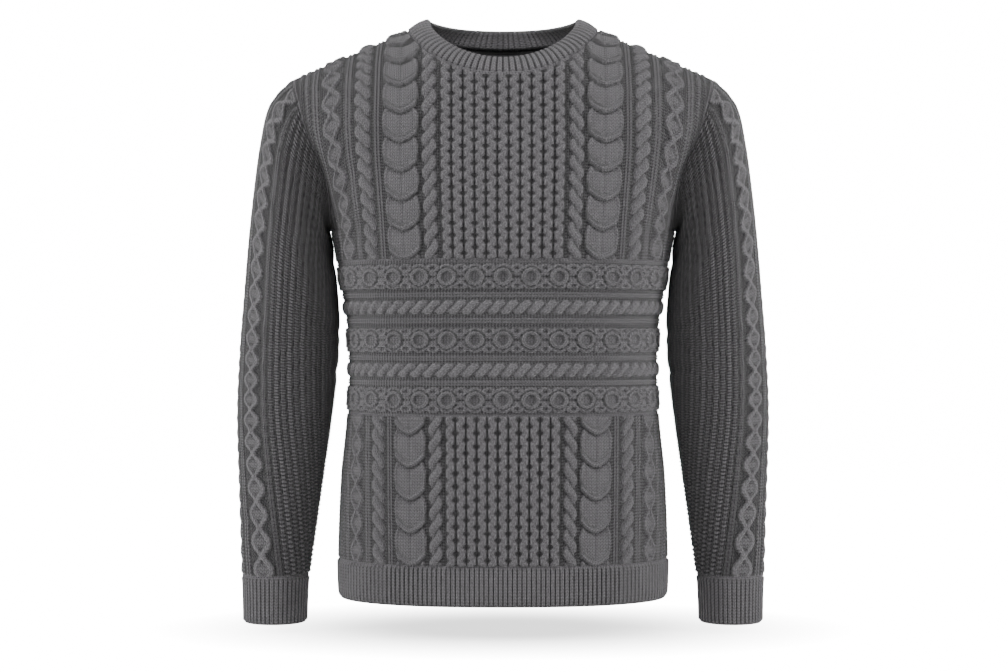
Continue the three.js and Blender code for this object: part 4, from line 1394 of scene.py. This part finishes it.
def makeLabelStitches():
    inset, room = 1.6, bodyForm["wall"] + labelLook["gap"] + labelLook["thick"] + 0.1
    low, high = labelLook["up"]
    margin = (high - low) * 0.06
    half = labelLook["half"] - inset
    across, upward = np.linspace(-half, half, 30), np.linspace(low + margin, high - margin, 20)
    paths = []
    for line, up in ((across, high - margin + 0 * across), (across, low + margin + 0 * across),
                     (-half + 0 * upward, upward), (half + 0 * upward, upward)):
        flat, height = upperPlaces(1, levels["backBottom"], line, up)
        normal = bodyNormal(1, flat, height)
        paths.append((bodyPoint(1, flat, height) - normal * room, -normal))
    piece = layLinks("labelStitches", paths, labelLinks)
    return piece


makeYoke()
print("yoke done")
makeBand()
print("band done")
makeLower()
print("lower panel done")
makeBack()
print("back done")
makeSleeve("sleeve_left", False)
makeSleeve("sleeve_right", True)
print("sleeves done")
makeCuff("cuff_left", False)
makeCuff("cuff_right", True)
makeCollar()
makeHem(-1, "hem_front")
makeHem(1, "hem_back")
makeLabel()
print("ribs and label done")
makeSeams()
makeLabelStitches()
print("stitches done")


# Camera, light and floor
view = {"distance": 2.3, "height": -0.3575, "lens": 69.6, "side": 0.0012}


def makeCamera():
    camera = bpy.data.cameras.new("view")
    camera.lens = view["lens"]
    camera.sensor_width = 36
    camera.clip_end = 50
    seat = bpy.data.objects.new("view", camera)
    seat.location = (view["side"], -view["distance"], view["height"])
    seat.rotation_euler = (math.pi / 2, 0, 0)
    bpy.context.scene.collection.objects.link(seat)
    bpy.context.scene.camera = seat


def areaLight(name, place, aim, size, power, spread=180):
    light = bpy.data.lights.new(name, "AREA")
    light.spread = math.radians(spread)
    light.shape = "RECTANGLE"
    light.size, light.size_y = size
    light.energy = power
    seat = bpy.data.objects.new(name, light)
    seat.location = place
    direction = Vector(aim) - Vector(place)
    seat.rotation_euler = direction.to_track_quat("-Z", "Y").to_euler()
    bpy.context.scene.collection.objects.link(seat)


stageLook = {"floor": -0.702, "floorGlow": 14.0, "paintedShadowSize": (0.36, 0.2),
             "inner": 0.25, "fade": 1.1, "least": 0.13, "world": 0.3}


def makeStage():
    # pale floor that curves up into a wall far behind
    low = stageLook["floor"]
    profile = [(-4, low), (3, low)]
    for step in range(1, 13):
        angle = math.pi / 2 * step / 12
        profile.append((3 + 1.5 * math.sin(angle), low + 1.5 - 1.5 * math.cos(angle)))
    profile.append((4.5, 5))
    verts = [(x, y, z) for x in (-7, 7) for y, z in profile]
    n = len(profile)
    faces = [(i, i + n, i + n + 1, i + 1) for i in range(n - 1)]
    mesh = bpy.data.meshes.new("floor")
    mesh.from_pydata(verts, [], faces)
    mesh.polygons.foreach_set("use_smooth", [True] * len(faces))
    floor = bpy.data.objects.new("floor", mesh)
    material = bpy.data.materials.new("paleFloor")
    material.use_nodes = True
    shader = material.node_tree.nodes["Principled BSDF"]
    shader.inputs["Base Color"].default_value = (0.9, 0.9, 0.9, 1)
    shader.inputs["Roughness"].default_value = 0.9
    shader.inputs["Emission Color"].default_value = (1, 1, 1, 1)
    tree = material.node_tree
    place = tree.nodes.new("ShaderNodeTexCoord")
    split = tree.nodes.new("ShaderNodeSeparateXYZ")
    tree.links.new(place.outputs["Object"], split.inputs[0])
    # painted soft shadow: the floor's glow fades under the garment down to the least share, not a cast shadow
    aside = mathNode(tree, "POWER", mathNode(tree, "DIVIDE", split.outputs[0], stageLook["paintedShadowSize"][0]), 2.0)
    ahead = mathNode(tree, "POWER", mathNode(tree, "DIVIDE", split.outputs[1], stageLook["paintedShadowSize"][1]), 2.0)
    reach = mathNode(tree, "POWER", mathNode(tree, "ADD", aside, ahead), 0.5)
    outsidePaintedShadow = mathNode(tree, "SUBTRACT", reach, stageLook["inner"])
    outsidePaintedShadow = mathNode(tree, "MULTIPLY", outsidePaintedShadow, stageLook["fade"], True)
    outsidePaintedShadow = mathNode(tree, "ADD", mathNode(tree, "POWER", outsidePaintedShadow, 2.0), stageLook["least"])
    # the floor's own white lights nothing else
    seen = tree.nodes.new("ShaderNodeLightPath").outputs["Is Camera Ray"]
    glow = mathNode(tree, "MULTIPLY", mathNode(tree, "MULTIPLY", outsidePaintedShadow, stageLook["floorGlow"]), seen)
    tree.links.new(glow, shader.inputs["Emission Strength"])
    mesh.materials.append(material)
    bpy.context.scene.collection.objects.link(floor)
    world = bpy.data.worlds.new("studio")
    world.use_nodes = True
    world.node_tree.nodes["Background"].inputs["Color"].default_value = (1, 1, 1, 1)
    world.node_tree.nodes["Background"].inputs["Strength"].default_value = stageLook["world"]
    bpy.context.scene.world = world


makeCamera()
makeStage()
areaLight("frontTop", (0.0, -2.3, 1.3), (0, 0, -0.2), (1.4, 0.8), 12)
areaLight("neckTop", (0.0, -1.0, 1.3), (0, 0.08, 0), (0.4, 0.4), 9)
areaLight("backCollar", (0.0, -0.2, 0.5), (0, 0.085, 0.0), (0.12, 0.04), 0.15, 32)
areaLight("behind", (0.0, 2.4, 0.9), (0, 0, -0.35), (1.6, 1.0), 14)
areaLight("leftSide", (-2.05, -0.85, 0.15), (0, -0.05, -0.33), (0.6, 1.6), 42)
areaLight("rightSide", (2.05, -0.85, 0.15), (0, -0.05, -0.33), (0.6, 1.6), 42)
print("stage done")
counts = {o.name: sum(len(f.vertices) - 2 for f in o.data.polygons) for o in bpy.data.objects
          if o.type == "MESH" and not o.hide_render}
print("triangles", counts)
